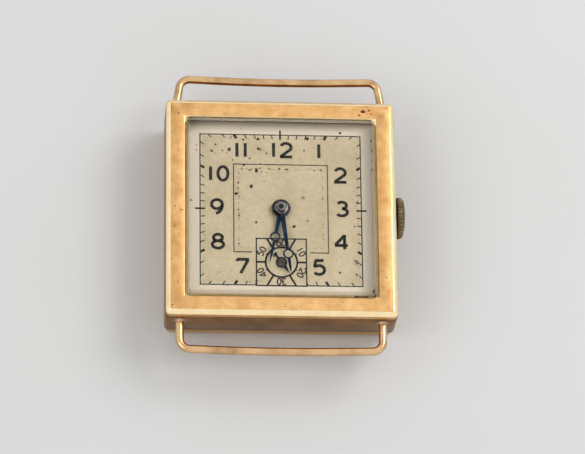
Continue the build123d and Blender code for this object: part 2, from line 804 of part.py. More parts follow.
def pallet_bridge():
    """The small cock over the pallet fork."""
    cock = link(pallet_place, pallet_foot, 2 * pallet_foot_radius, pallet_bridge_low, pallet_bridge_high)
    cock += disc(pallet_foot_radius, pallet_bridge_low, plate_low, pallet_foot)
    cock -= disc(pivot_radius + fit_gap, pallet_bridge_low - overrun, plate_low, pallet_place)
    cock -= disc(pallet_foot_radius * 0.8, pallet_bridge_low - overrun, pallet_screw_level, pallet_foot)
    return cock - disc(screw_shank * 0.6, pallet_bridge_low - overrun, plate_low, pallet_foot)


def bridge_screws():
    """The screws of the bridges and the cocks."""
    screws = []
    for index, place in enumerate(barrel_screws + train_screws + [cock_screw]):
        screws.append(slotted_screw(place, screw_head, bridge_low, screw_shank, screw_length, 37 * index))
    length = plate_low + jewel_thickness - pallet_screw_level
    screws.append(
        slotted_screw(pallet_foot, pallet_foot_radius * 0.8, pallet_screw_level, screw_shank * 0.6, length)
    )
    return Part() + screws


def case_screw_set():
    """The two screws whose heads hold the movement in its ring."""
    screws = []
    for place in case_screws:
        inner = polar(place, bearing(place, centre_place), screw_shank + run_gap)
        screw = disc(case_screw_head, plate_low - screw_head_height, plate_low, place)
        screw += disc(screw_shank, plate_low, plate_low + screw_shank * 2, inner)
        angle = bearing(centre_place, place) + 60
        cut_low = plate_low - screw_head_height - overrun
        ends = [polar(place, angle, side * 2 * screw_head) for side in (-1, 1)]
        screws.append(screw - link(*ends, slot_width, cut_low, cut_low + overrun + slot_depth))
    return Part() + screws


def plate_jewels():
    """The jewels in the main plate."""
    top = plate_low + jewel_thickness
    places = (third_place, escape_place, pallet_place, balance_place)
    jewels = [tube(jewel_radius, pivot_radius + fit_gap, plate_low, top, place) for place in places]
    jewels.append(tube(jewel_radius, arbor_radius, plate_low, top, fourth_place))
    return Part() + jewels


def bridge_jewels():
    """The jewels in the bridges and the balance cock."""
    low = bridge_high - jewel_thickness
    places = (centre_place, third_place, fourth_place, escape_place, balance_place)
    return Part() + [tube(jewel_radius, pivot_radius + fit_gap, low, bridge_high, place) for place in places]


def barrel_drum():
    """The toothed drum that holds the mainspring."""
    radius = barrel_tip - 2.4 * barrel_module
    drum = disc(radius, barrel_low + barrel_cover_thickness, barrel_high, barrel_place)
    room_top = barrel_high - barrel_cover_thickness
    drum -= disc(radius - barrel_wall, barrel_low - overrun, room_top, barrel_place)
    teeth = toothed(barrel_teeth, barrel_module, barrel_teeth_level, barrel_high, barrel_phase, barrel_place)
    drum += teeth - disc(radius - barrel_wall / 2, barrel_low, barrel_high + overrun, barrel_place)
    return drum - disc(2 * arbor_radius, barrel_low, barrel_high + overrun, barrel_place)


def barrel_cover():
    """The lid snapped into the barrel."""
    radius = barrel_tip - 2.4 * barrel_module
    high = barrel_low + barrel_cover_thickness
    return tube(radius, 2 * arbor_radius + fit_gap, barrel_low, high, barrel_place)


def barrel_arbor():
    """The arbor that the mainspring winds on, with a square for the ratchet wheel."""
    core_low = barrel_low + barrel_cover_thickness + fit_gap
    core_high = barrel_high - barrel_cover_thickness - fit_gap
    shaft = disc(4 * arbor_radius, core_low, core_high, barrel_place)
    shaft += disc(2 * arbor_radius - fit_gap, recess_floor - fit_gap, plate_low - run_gap / 2, barrel_place)
    return shaft - disc(screw_shank, recess_floor - overrun, recess_floor + jewel_thickness, barrel_place)


def mainspring():
    """The mainspring, coiled in the barrel."""
    low = barrel_low + barrel_cover_thickness + run_gap / 2
    high = barrel_high - barrel_cover_thickness - run_gap / 2
    return spiral(4 * arbor_radius, spring_pitch, spring_thickness, spring_turns, low, high, barrel_place)


winding_wheel_low = recess_floor - fit_gap - winding_wheel_thickness


def ratchet_wheel():
    """The wheel that winds the barrel's arbor."""
    low = winding_wheel_low
    wheel = toothed(ratchet_teeth, ratchet_module, low, low + winding_wheel_thickness, 0.0, barrel_place)
    return wheel - disc(screw_shank, low - overrun, recess_floor + overrun, barrel_place)


def ratchet_screw():
    """The screw of the ratchet wheel."""
    length = recess_floor + jewel_thickness - winding_wheel_low
    return slotted_screw(barrel_place, screw_head * 1.5, winding_wheel_low, screw_shank, length, 20)


def crown_wheel():
    """The winding wheel, with a ring of face teeth for the winding pinion."""
    low = winding_wheel_low
    high = low + winding_wheel_thickness
    wheel = toothed(crown_wheel_teeth, ratchet_module, low, high, crown_wheel_phase, crown_wheel_place)
    outer = face_ring_radius + face_ring_width / 2
    inner = face_ring_radius - face_ring_width / 2
    tooth_top = stem_level - winding_pinion_tip + face_tooth / 2
    tooth_low = tooth_top - 2 * face_tooth
    wheel += tube(outer, inner, low, tooth_low, crown_wheel_place)
    wheel += face_teeth(crown_face_teeth, outer, inner, tooth_low, tooth_top, crown_wheel_place)
    return wheel - disc(screw_shank + fit_gap, low - overrun, high + overrun, crown_wheel_place)


def crown_wheel_screw():
    """The screw that the crown wheel turns on."""
    length = recess_floor + jewel_thickness - winding_wheel_low + fit_gap
    low = winding_wheel_low - fit_gap
    return slotted_screw(crown_wheel_place, screw_head * 1.5, low, screw_shank, length, 75)


def click():
    """The pawl that stops the ratchet wheel from running back."""
    low = winding_wheel_low
    high = low + winding_wheel_thickness
    angle = bearing(click_place, barrel_place)
    beak = polar(click_place, angle - 48, ratchet_module * 3.2)
    body = disc(ratchet_module * 2, low, high, click_place)
    body += link(click_place, beak, ratchet_module * 1.6, low, high)
    body -= disc(ratchet_tip + fit_gap, low - overrun, high + overrun, barrel_place)
    pin = disc(screw_shank * 0.8 - fit_gap, low, recess_floor + jewel_thickness, click_place)
    ends = [polar(click_place, 15, side * screw_head / 2) for side in (-1, 1)]
    return body + pin - link(*ends, slot_width, low - overrun, low + slot_depth / 2)


def click_spring():
    """The thin bent spring behind the click."""
    low = winding_wheel_low
    high = recess_floor
    angle = bearing(barrel_place, click_place)
    start = polar(click_place, angle, ratchet_module * 2.6)
    end = polar(click_place, angle + 90, ratchet_module * 3.2)
    return link(start, end, spring_thickness, low, high)


def train_pinion(teeth, module, leaf_low, leaf_high, at, low, high, phase, pivot=pivot_radius):
    """A pinion cut on its arbor, with a fine pivot at each end."""
    body = toothed(teeth, module, leaf_low, leaf_high, phase, at)
    return body + arbor(at, low, high, arbor_radius, pivot)


def centre_wheel():
    """The wheel that turns once an hour."""
    return spoked(centre_teeth, centre_module, centre_level, centre_phase, centre_place, arbor_radius)


def centre_pinion():
    """The centre pinion, whose arbor reaches through the plate to the cannon pinion."""
    leaf_low = barrel_teeth_level - run_gap
    body = toothed(centre_pinion_teeth, barrel_module, leaf_low, centre_level, 0.0)
    body += disc(arbor_radius, bridge_high + run_gap / 2, cannon_high - cannon_rise)
    return body + disc(pivot_radius, bridge_high - jewel_thickness, bridge_high + overrun)


def third_wheel():
    """The third wheel."""
    return spoked(third_teeth, third_module, third_level, third_wheel_phase, third_place, arbor_radius)


def third_pinion():
    """The third wheel's pinion, driven by the centre wheel."""
    low = centre_level - run_gap
    high = centre_level + wheel_thickness
    return train_pinion(
        third_pinion_teeth, centre_module, low, high, third_place, bridge_high, plate_low, third_pinion_phase
    )


def fourth_wheel():
    """The wheel that turns once a minute."""
    return spoked(fourth_teeth, escape_module, fourth_level, fourth_phase, fourth_place, arbor_radius)


def fourth_pinion():
    """The fourth wheel's pinion, whose long pivot carries the seconds hand."""
    low = third_level - run_gap / 2
    high = third_level + wheel_thickness + run_gap / 2
    body = toothed(fourth_pinion_teeth, third_module, low, high, fourth_phase, fourth_place)
    body += disc(arbor_radius, bridge_high + run_gap / 2, plate_low - run_gap / 2, fourth_place)
    top = seconds_level + seconds_thickness + seconds_gap / 2
    return body + disc(pivot_radius, bridge_high - jewel_thickness, top, fourth_place)


def escape_wheel():
    """The escape wheel with its fifteen raked teeth."""
    points = []
    corners = ((0.74, 0.0), (0.98, 0.3), (1.0, 0.36), (0.98, 0.46), (0.74, 0.2))
    for index in range(escape_teeth):
        for radius_share, turn_share in corners:
            angle = pallet_line + (index + turn_share) * 360 / escape_teeth
            points.append(polar(escape_place, angle, escape_radius * radius_share))
    high = escape_level + wheel_thickness
    wheel = slab(points, escape_level, high)
    rim = escape_radius * 0.12
    wheel -= crossed(escape_radius * 0.72, rim, 2 * arbor_radius, escape_level, high, escape_place)
    return wheel - disc(arbor_radius, escape_level - overrun, high + overrun, escape_place)


def escape_pinion():
    """The escape wheel's pinion, driven by the fourth wheel."""
    low = fourth_level - run_gap / 2
    high = fourth_level + wheel_thickness + run_gap / 2
    return train_pinion(
        escape_pinion_teeth, escape_module, low, high, escape_place, bridge_high, plate_low,
        escape_pinion_phase,
    )


def pallet_stone_places():
    """The places of the two stones, where the fork's arms meet the escape wheel."""
    return [polar(escape_place, pallet_line + side * 30, escape_radius) for side in (1, -1)]


def pallet_fork():
    """The lever with two arms for its stones and a forked end for the impulse pin."""
    low = escape_level
    high = low + wheel_thickness
    bar_width = escape_radius * 0.12
    notch = polar(pallet_place, pallet_line, fork_length - impulse_radius)
    body = link(pallet_place, notch, bar_width, low, high)
    body += disc(bar_width * 1.6, low, high, pallet_place)
    body += disc(bar_width * 1.4, low, high, notch)
    body -= link(notch, balance_place, impulse_radius * 0.3, low - overrun, high + overrun)
    for stone in pallet_stone_places():
        short = polar(pallet_place, bearing(pallet_place, stone), math.dist(pallet_place, stone) - bar_width)
        body += link(pallet_place, short, bar_width, low, high)
    pivot_high = plate_low + jewel_thickness
    shaft = disc(pivot_radius, pallet_bridge_low, pivot_high, pallet_place)
    shaft += disc(1.4 * pivot_radius, pallet_bridge_high + fit_gap, plate_low - fit_gap, pallet_place)
    return body + shaft


def pallet_stones():
    """The two ruby stones in the fork's arms."""
    stones = []
    bar_width = escape_radius * 0.12
    for stone in pallet_stone_places():
        angle = bearing(pallet_place, stone)
        start = polar(pallet_place, angle, math.dist(pallet_place, stone) - bar_width / 2)
        end = polar(start, angle, bar_width * 0.9)
        low = escape_level
        block = link(start, end, bar_width * 0.8, low, low + wheel_thickness)
        stones.append(block - pallet_fork())
    return Part() + stones


def balance_wheel():
    """The screwed balance with two arms."""
    high = balance_level + balance_thickness
    rim = tube(balance_radius, balance_radius - balance_rim, balance_level, high, balance_place)
    for side in (0, 180):
        end = polar(balance_place, 30 + side, balance_radius - balance_rim / 2)
        rim += link(balance_place, end, balance_rim * 1.2, balance_level, high)
    rim += disc(balance_rim * 1.6, balance_level, high, balance_place)
    level = (balance_level + high) / 2
    for index in range(balance_screw_count):
        screw = Cylinder(balance_screw_radius, balance_screw_length + balance_rim / 2, align=STAND)
        turned = Rot(0, 0, (index + 0.5) * 360 / balance_screw_count)
        place = turned * Pos(balance_radius - balance_rim / 2, 0, 0) * Rot(0, 90, 0)
        rim += Pos(balance_place[0], balance_place[1], level) * place * screw
    return rim - disc(arbor_radius, balance_level - overrun, high + overrun, balance_place)


def balance_staff():
    """The balance staff with its collet, its roller and the impulse pin."""
    staff = disc(arbor_radius, bridge_high + run_gap / 2, plate_low - run_gap / 2, balance_place)
    ends = (bridge_high - jewel_thickness, plate_low + jewel_thickness)
    staff += disc(staff_pivot_radius, ends[0], ends[1], balance_place)
    roller_low = escape_level - wheel_thickness - run_gap
    staff += disc(impulse_radius * 1.35, roller_low, escape_level - run_gap / 2, balance_place)
    pin_place = polar(balance_place, pallet_line + 180, impulse_radius)
    return staff + disc(impulse_radius * 0.12, roller_low, escape_level + wheel_thickness, pin_place)


def hairspring():
    """The balance's hairspring, from its collet to its stud."""
    low = bridge_high + run_gap
    high = low + hairspring_height
    inner = 2 * arbor_radius
    coil = spiral(inner, hairspring_pitch, hairspring_thickness, hairspring_turns, low, high, balance_place)
    return coil + tube(inner + hairspring_thickness, arbor_radius, low, high, balance_place)


hairspring_reach = 2 * arbor_radius + hairspring_turns * hairspring_pitch + hairspring_thickness
stud_place = (balance_place[0] + hairspring_reach + post_radius * 0.9, balance_place[1])


def hairspring_stud():
    """The stud that holds the hairspring's outer end under its own arm of the cock."""
    low = bridge_high
    return disc(post_radius, low, low + hairspring_height + 2 * run_gap, stud_place)


def stud_arm():
    """The short arm of the cock that carries the stud."""
    return link(balance_place, stud_place, 3 * post_radius, bridge_low, bridge_high)


def regulator():
    """The index round the cock's jewel, with a pointer and a curb pin."""
    low = bridge_low - fit_gap - lever_thickness
    high = bridge_low - fit_gap
    tail = polar(balance_place, 150, hairspring_reach * 1.35)
    index = disc(jewel_radius * 1.8, low, high, balance_place)
    index += link(balance_place, tail, jewel_radius * 0.7, low, high)
    return index - disc(jewel_radius, low - overrun, high + overrun, balance_place)


def cannon_pinion():
    """The cannon pinion, which carries the minute hand."""
    high = minute_wheel_level + 1.7 * wheel_thickness
    body = toothed(cannon_teeth, centre_module, minute_wheel_level, high, 0.0)
    body += disc(cannon_radius, minute_wheel_level, cannon_high)
    return body - disc(arbor_radius + fit_gap, plate_low, cannon_high - cannon_rise / 2)


def minute_wheel():
    """The minute wheel and its pinion, which turn the hour wheel."""
    low = minute_wheel_level
    wheel = spoked(
        minute_wheel_teeth, centre_module, low, minute_wheel_phase, minute_wheel_place, post_radius + fit_gap
    )
    pinion_high = hour_wheel_level + wheel_thickness + run_gap / 2
    pinion = toothed(minute_pinion_teeth, hour_module, low, pinion_high, 0.0, minute_wheel_place)
    bore = disc(post_radius + fit_gap, low - overrun, hour_wheel_level + fit_gap, minute_wheel_place)
    return wheel + pinion - bore


def hour_wheel():
    """The hour wheel and the pipe that carries the hour hand."""
    high = hour_wheel_level + wheel_thickness
    wheel = toothed(hour_wheel_teeth, hour_module, hour_wheel_level, high, hour_phase)
    wheel += disc(pipe_radius, hour_wheel_level, hour_level + hour_thickness + fit_gap)
    return wheel - disc(cannon_radius + fit_gap, hour_wheel_level - overrun, minute_level)


def setting_wheel():
    """The wheel that joins the sliding pinion to the hand gearing when the crown is pulled."""
    low = minute_wheel_level
    wheel = toothed(setting_teeth, centre_module, low, low + wheel_thickness, setting_phase, setting_place)
    return wheel - disc(post_radius + fit_gap, low - overrun, low + overrun, setting_place)


def winding_stem():
    """The stem: pivot, square for the sliding pinion, groove for the setting lever, and crown end."""
    stem = rod(stem_pivot_radius, pivot_end + crown_pull / 2, cavity_low + fit_gap)
    half = stem_square / 2
    square_low = cavity_low + run_gap
    stem += box((cavity_low, -half, stem_level - half), (winding_low, half, stem_level + half))
    stem += rod(stem_pivot_radius, pivot_end + crown_pull / 2, square_low)
    body_low = groove_x - stem_groove_width / 2
    body_high = groove_x + stem_groove_width / 2
    stem += rod(stem_radius, winding_low, body_low)
    stem += rod(stem_groove_radius, winding_low, crown_low)
    return stem + rod(stem_radius, body_high, crown_high - crown_thickness / 4)


def winding_pinion():
    """The winding pinion, loose on the stem, with ratchet teeth towards the sliding pinion."""
    phase = 180 / winding_pinion_teeth
    face = Rot(0, 90, 0) * toothed_face(winding_pinion_teeth, winding_pinion_module, phase, centre_place)
    body = extrude(Pos(winding_low, 0, stem_level) * face, winding_pinion_width, dir=(1, 0, 0))
    return body - rod(stem_radius + fit_gap, winding_low - overrun, winding_high + overrun)


def sliding_pinion():
    """The sliding pinion, driven by the stem's square and shifted by the yoke."""
    body = rod(clutch_radius, clutch_low, clutch_high)
    groove_low = clutch_groove_x - clutch_groove_width / 2
    groove_high = clutch_groove_x + clutch_groove_width / 2
    groove = rod(2 * clutch_radius, groove_low, groove_high)
    groove -= rod(clutch_groove_radius, clutch_low, clutch_high)
    half = stem_square / 2 + fit_gap
    bore = box((clutch_low - overrun, -half, stem_level - half), (winding_high, half, stem_level + half))
    teeth = face_teeth(12, clutch_radius, clutch_radius * 0.7, 0, face_tooth, centre_place)
    outer = Pos(clutch_high, 0, stem_level) * Rot(0, 90, 0) * teeth
    inner_teeth = face_teeth(12, clutch_radius, clutch_radius * 0.7, 0, face_tooth, centre_place)
    inner = Pos(clutch_low, 0, stem_level) * Rot(0, -90, 0) * inner_teeth
    return body - groove + outer + inner - bore


def setting_lever():
    """The lever whose pin sits in the stem's groove."""
    low = lever_level
    high = low + lever_thickness
    width = stem_groove_width * 1.5
    body = disc(1.8 * keyless_post, low, high, lever_pivot)
    body += link(lever_pivot, lever_bend, width, low, high)
    body += link(lever_bend, lever_nose, width, low, high)
    body += disc(stem_groove_width * 0.35, stem_level + stem_groove_radius + fit_gap, high, lever_nose)
    return body - disc(keyless_post + fit_gap, low - overrun, high + overrun, lever_pivot)


def yoke():
    """The lever that shifts the sliding pinion."""
    low = lever_level
    high = low + lever_thickness
    body = disc(1.8 * keyless_post, low, high, yoke_pivot)
    body += link(yoke_pivot, yoke_bend, clutch_groove_width, low, high)
    body += link(yoke_bend, yoke_nose, clutch_groove_width * 0.4, low, high)
    return body - disc(keyless_post + fit_gap, low - overrun, high + overrun, yoke_pivot)


def setting_bridge():
    """The cover over the levers, with its spring arm."""
    low = setting_bridge_level
    high = low + wheel_thickness
    body = link(yoke_pivot, lever_pivot, 4 * keyless_post, low, high)
    arm_end = (lever_bend[0] + stem_groove_width / 2, lever_bend[1] + run_gap)
    body += link(lever_pivot, arm_end, stem_groove_width, low, high)
    for place in (yoke_pivot, lever_pivot):
        body -= disc(keyless_post, low - overrun, high + overrun, place)
    return body


def keyless_screws():
    """The two screws that hold the setting bridge and carry the levers."""
    screws = []
    low = motion_floor - screw_shank * 2
    head_low = setting_bridge_level + wheel_thickness
    head_high = plate_high - seat_gap
    for place in (yoke_pivot, lever_pivot):
        screw = disc(keyless_post, low, head_low, place)
        screw += disc(1.6 * keyless_post, head_low, head_high, place)
        ends = [polar(place, 30 + side, screw_head) for side in (0, 180)]
        screws.append(screw - link(*ends, slot_width, head_high - slot_depth / 2, head_high + overrun))
    return Part() + screws


def dial():
    """The square dial with its feet and the holes for the hands' pipes."""
    plate = square(dial_half, case_corner, plate_high, dial_top)
    for place in dial_feet:
        plate += disc(dial_foot_radius, plate_high - dial_foot_length, plate_high, place)
    plate -= disc(pipe_radius + run_gap, plate_high - overrun, dial_top + overrun)
    return plate - disc(arbor_radius, plate_high - overrun, dial_top + overrun, fourth_place)


def hour_hand():
    """The hour hand."""
    return hand(
        hour_length, hour_ring_place, hour_ring, hour_hub, pipe_radius, hour_level, hour_thickness, hour_angle
    )


def minute_hand():
    """The minute hand."""
    return hand(
        minute_length, minute_ring_place, minute_ring, minute_hub, cannon_radius, minute_level,
        minute_thickness, minute_angle,
    )


def seconds_hand():
    """The seconds hand of the small dial."""
    low = seconds_level
    high = low + seconds_thickness
    tip = polar(fourth_place, seconds_angle, seconds_length)
    end = polar(fourth_place, seconds_angle + 180, seconds_tail)
    sides = [polar(fourth_place, seconds_angle + side, hand_root / 2) for side in (90, -90)]
    body = disc(seconds_hub, low, high, fourth_place)
    body += slab([sides[0], sides[1], tip], low, high)
    body += link(fourth_place, end, hand_tail_width, low, high)
    body += disc(seconds_ring, low, high, end)
    return body - disc(pivot_radius, low - overrun, high + overrun, fourth_place)


def balance_cock_whole():
    """The balance cock with the arm for the hairspring's stud."""
    return seated(balance_cock() + stud_arm(), [balance_place])


NODES = {
    "case_band": case_band,
    "case_back": case_back,
    "bezel": bezel,
    "crystal": crystal,
    "upper_wire_lug": lambda: wire_lug(
        upper_wire_span, upper_wire_reach, upper_wire_lean_width, upper_wire_bow, 1
    ),
    "lower_wire_lug": lambda: wire_lug(
        lower_wire_span, lower_wire_reach, lower_wire_lean_width, lower_wire_bow, -1
    ),
    "crown": crown,
    "crown_tube": crown_tube,
    "movement_ring": movement_ring,
    "case_screws": case_screw_set,
    "dial": dial,
    "dial_screws": dial_screws,
    "hour_hand": hour_hand,
    "minute_hand": minute_hand,
    "seconds_hand": seconds_hand,
    "cannon_pinion": cannon_pinion,
    "minute_wheel": minute_wheel,
    "hour_wheel": hour_wheel,
    "setting_wheel": setting_wheel,
    "winding_stem": winding_stem,
    "winding_pinion": winding_pinion,
    "sliding_pinion": sliding_pinion,
    "setting_lever": setting_lever,
    "yoke": yoke,
    "setting_bridge": setting_bridge,
    "keyless_screws": keyless_screws,
    "main_plate": main_plate,
    "barrel_bridge": barrel_bridge,
    "train_bridge": train_bridge,
    "balance_cock": balance_cock_whole,
    "pallet_bridge": pallet_bridge,
    "bridge_screws": bridge_screws,
    "plate_jewels": plate_jewels,
    "bridge_jewels": bridge_jewels,
    "barrel_drum": barrel_drum,
    "barrel_cover": barrel_cover,
    "barrel_arbor": barrel_arbor,
    "mainspring": mainspring,
    "ratchet_wheel": ratchet_wheel,
    "ratchet_screw": ratchet_screw,
    "crown_wheel": crown_wheel,
    "crown_wheel_screw": crown_wheel_screw,
    "click": click,
    "click_spring": click_spring,
    "centre_wheel": centre_wheel,
    "centre_pinion": centre_pinion,
    "third_wheel": third_wheel,
    "third_pinion": third_pinion,
    "fourth_wheel": fourth_wheel,
    "fourth_pinion": fourth_pinion,
    "escape_wheel": escape_wheel,
    "escape_pinion": escape_pinion,
    "pallet_fork": pallet_fork,
    "pallet_stones": pallet_stones,
    "balance_wheel": balance_wheel,
    "balance_staff": balance_staff,
    "hairspring": hairspring,
    "hairspring_stud": hairspring_stud,
    "regulator": regulator,
}

os.makedirs("parts", exist_ok=True)
for node, make in NODES.items():
    piece = make()
    print(node, len(piece.solids()), round(piece.volume, 3))
    export_step(piece, os.path.join("parts", node + ".step"))
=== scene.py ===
import json
import logging
import math
from dataclasses import dataclass, field, replace
from enum import Enum
from random import Random
from typing import Callable, ClassVar, Sequence, Union

import bmesh
import bpy
from mathutils import Matrix, Vector


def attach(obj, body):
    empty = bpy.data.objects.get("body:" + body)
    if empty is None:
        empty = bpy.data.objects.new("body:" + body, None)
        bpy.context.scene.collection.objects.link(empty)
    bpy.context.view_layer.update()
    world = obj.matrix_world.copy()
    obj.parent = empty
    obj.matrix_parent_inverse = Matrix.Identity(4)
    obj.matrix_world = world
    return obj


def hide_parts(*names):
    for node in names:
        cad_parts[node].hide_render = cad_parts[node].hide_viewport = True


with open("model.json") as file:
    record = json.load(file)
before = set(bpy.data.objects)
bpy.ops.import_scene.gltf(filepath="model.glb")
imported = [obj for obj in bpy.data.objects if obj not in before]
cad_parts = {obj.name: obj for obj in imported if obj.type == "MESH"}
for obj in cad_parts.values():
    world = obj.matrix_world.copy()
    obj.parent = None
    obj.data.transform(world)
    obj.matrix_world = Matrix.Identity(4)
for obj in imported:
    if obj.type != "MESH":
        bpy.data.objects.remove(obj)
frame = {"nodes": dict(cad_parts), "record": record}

log = logging.getLogger("square_watch")

# Sizes and places are in millimetres, and angles in degrees, unless a docstring says otherwise
MM = 0.001
IMAGE_SIZE = (585, 454)
MINUTES = 60
LEAST_RADIUS = 0.004
FLAT_ANGLE = 0.6
SHARP_ANGLE = 32.0
MERGE_METRES = 1e-7
CAD_MERGE_METRES = 2e-7

Colour = tuple[float, float, float]
Point = tuple[float, float]
Place = tuple[float, float, float]
Loop = list[Place]
MeshObject = bpy.types.Object
Node = bpy.types.Node
Socket = bpy.types.NodeSocket
Value = Union[float, bpy.types.NodeSocket]

BLACK: Colour = (0.0, 0.0, 0.0)
WHITE: Colour = (1.0, 1.0, 1.0)


class Grain(Enum):
    """How a metal's fine scratches run."""

    ALONG_SIDES = "along the four sides of the case"
    ROUND = "in all directions"
    LENGTHWISE = "along X"


class Axis(Enum):
    """The axis that a turned piece goes round."""

    X = "X"
    Y = "Y"
    Z = "Z"


class Mix(Enum):
    """How one colour is laid over another."""

    OVER = "MIX"
    DARKENING = "MULTIPLY"


# Meshes


def make_object(name: str, points: Sequence[Place], faces: Sequence[Sequence[int]]) -> MeshObject:
    """Makes a mesh object at the origin from points in millimetres.

    Args:
        name: The object's name.
        points: The points, in millimetres.
        faces: The faces, as indices of points.

    Returns:
        The object, linked to the scene.
    """
    mesh = bpy.data.meshes.new(name)
    mesh.from_pydata([(x * MM, y * MM, z * MM) for x, y, z in points], [], faces)
    mesh.update()
    obj = bpy.data.objects.new(name, mesh)
    bpy.context.scene.collection.objects.link(obj)
    return obj


def tidy(obj: MeshObject, sharp_angle: float = SHARP_ANGLE, outward: bool = True) -> MeshObject:
    """Points the faces outwards and shades them smooth, apart from sharp edges.

    Args:
        obj: A mesh object.
        sharp_angle: Edges that turn more than this many degrees stay sharp.
        outward: Whether to work out the normals again.

    Returns:
        The same object.
    """
    bm = bmesh.new()
    bm.from_mesh(obj.data)
    if outward:
        bmesh.ops.remove_doubles(bm, verts=bm.verts, dist=MERGE_METRES)
        bmesh.ops.recalc_face_normals(bm, faces=bm.faces)
    limit = math.radians(sharp_angle)
    for edge in bm.edges:
        edge.smooth = len(edge.link_faces) == 2 and edge.calc_face_angle() < limit
    for face in bm.faces:
        face.smooth = True
    bm.to_mesh(obj.data)
    bm.free()
    return obj


def baked(obj: MeshObject) -> MeshObject:
    """Turns an object's modifiers into a plain mesh of its own.

    Args:
        obj: An object with live modifiers.

    Returns:
        The same object, with the evaluated mesh and no modifier.
    """
    bpy.context.view_layer.update()
    graph = bpy.context.evaluated_depsgraph_get()
    mesh = bpy.data.meshes.new_from_object(obj.evaluated_get(graph))
    mesh.name = obj.name
    obj.modifiers.clear()
    obj.data = mesh
    return obj


def soften(node: str, width: float, segments: int = 2) -> MeshObject:
    """Copies a CAD node's mesh and rounds its edges a little.

    Args:
        node: The CAD node's name.
        width: The width of the rounding, in millimetres.
        segments: Faces across the rounding.

    Returns:
        The rounded copy.
    """
    mesh = frame["nodes"][node].data.copy()
    obj = bpy.data.objects.new(node + "_worn", mesh)
    bpy.context.scene.collection.objects.link(obj)
    bm = bmesh.new()
    bm.from_mesh(mesh)
    bmesh.ops.remove_doubles(bm, verts=bm.verts, dist=CAD_MERGE_METRES)
    bmesh.ops.dissolve_limit(bm, angle_limit=math.radians(FLAT_ANGLE), verts=bm.verts, edges=bm.edges)
    bm.to_mesh(mesh)
    bm.free()
    bevel = obj.modifiers.new("edge", "BEVEL")
    bevel.width = width * MM
    bevel.segments = segments
    bevel.limit_method = "ANGLE"
    bevel.angle_limit = math.radians(SHARP_ANGLE)
    bevel.use_clamp_overlap = True
    return tidy(baked(obj), outward=False)


def rounded_square(half: float, radius: float, z: float, corner_steps: int = 8, side_steps: int = 6) -> Loop:
    """Gives the points of a square with rounded corners, anticlockwise.

    Args:
        half: Half of the side.
        radius: The corner radius.
        z: The level of every point.
        corner_steps: Points along each corner, less one.
        side_steps: Parts of each straight side.

    Returns:
        The points, the same number for every size.
    """
    radius = min(max(radius, LEAST_RADIUS), half)
    points: Loop = []
    for quarter in range(4):
        turn = quarter * math.pi / 2
        cosine, sine = math.cos(turn), math.sin(turn)
        centre = half - radius
        for step in range(corner_steps + 1):
            angle = math.pi / 2 * step / corner_steps
            x = centre + radius * math.cos(angle)
            y = centre + radius * math.sin(angle)
            points.append((x * cosine - y * sine, x * sine + y * cosine, z))
        for step in range(1, side_steps):
            x = centre - 2 * centre * step / side_steps
            points.append((x * cosine - half * sine, x * sine + half * cosine, z))
    return points


def loft(loops: Sequence[Loop], closed: bool) -> tuple[Loop, list[list[int]]]:
    """Joins loops of equal count by rows of faces.

    Args:
        loops: The loops in order.
        closed: Whether the last loop joins the first; otherwise both ends are capped.

    Returns:
        The points and the faces.
    """
    count = len(loops[0])
    points = [point for loop in loops for point in loop]
    faces = []
    for row in range(len(loops) if closed else len(loops) - 1):
        low = row * count
        high = ((row + 1) % len(loops)) * count
        for step in range(count):
            after = (step + 1) % count
            faces.append([low + step, low + after, high + after, high + step])
    if not closed:
        faces.append(list(range(count))[::-1])
        faces.append([len(points) - count + step for step in range(count)])
    return points, faces


def lathe(name: str, profile: Sequence[Point], origin: Place, axis: Axis, steps: int) -> MeshObject:
    """Turns a closed profile round an axis through a point.

    Args:
        name: The object's name.
        profile: Pairs of place along the axis and radius, in millimetres.
        origin: A point on the axis.
        axis: The axis' direction.
        steps: Points round the axis.

    Returns:
        The turned piece.
    """
    loops = []
    for along, radius in profile:
        loop = []
        for step in range(steps):
            a = radius * math.cos(2 * math.pi * step / steps)
            b = radius * math.sin(2 * math.pi * step / steps)
            place = {Axis.X: (along, a, b), Axis.Y: (b, along, a), Axis.Z: (a, b, along)}[axis]
            loop.append(tuple(p + o for p, o in zip(place, origin)))
        loops.append(loop)
    return tidy(make_object(name, *loft(loops, closed=True)))


# Node trees


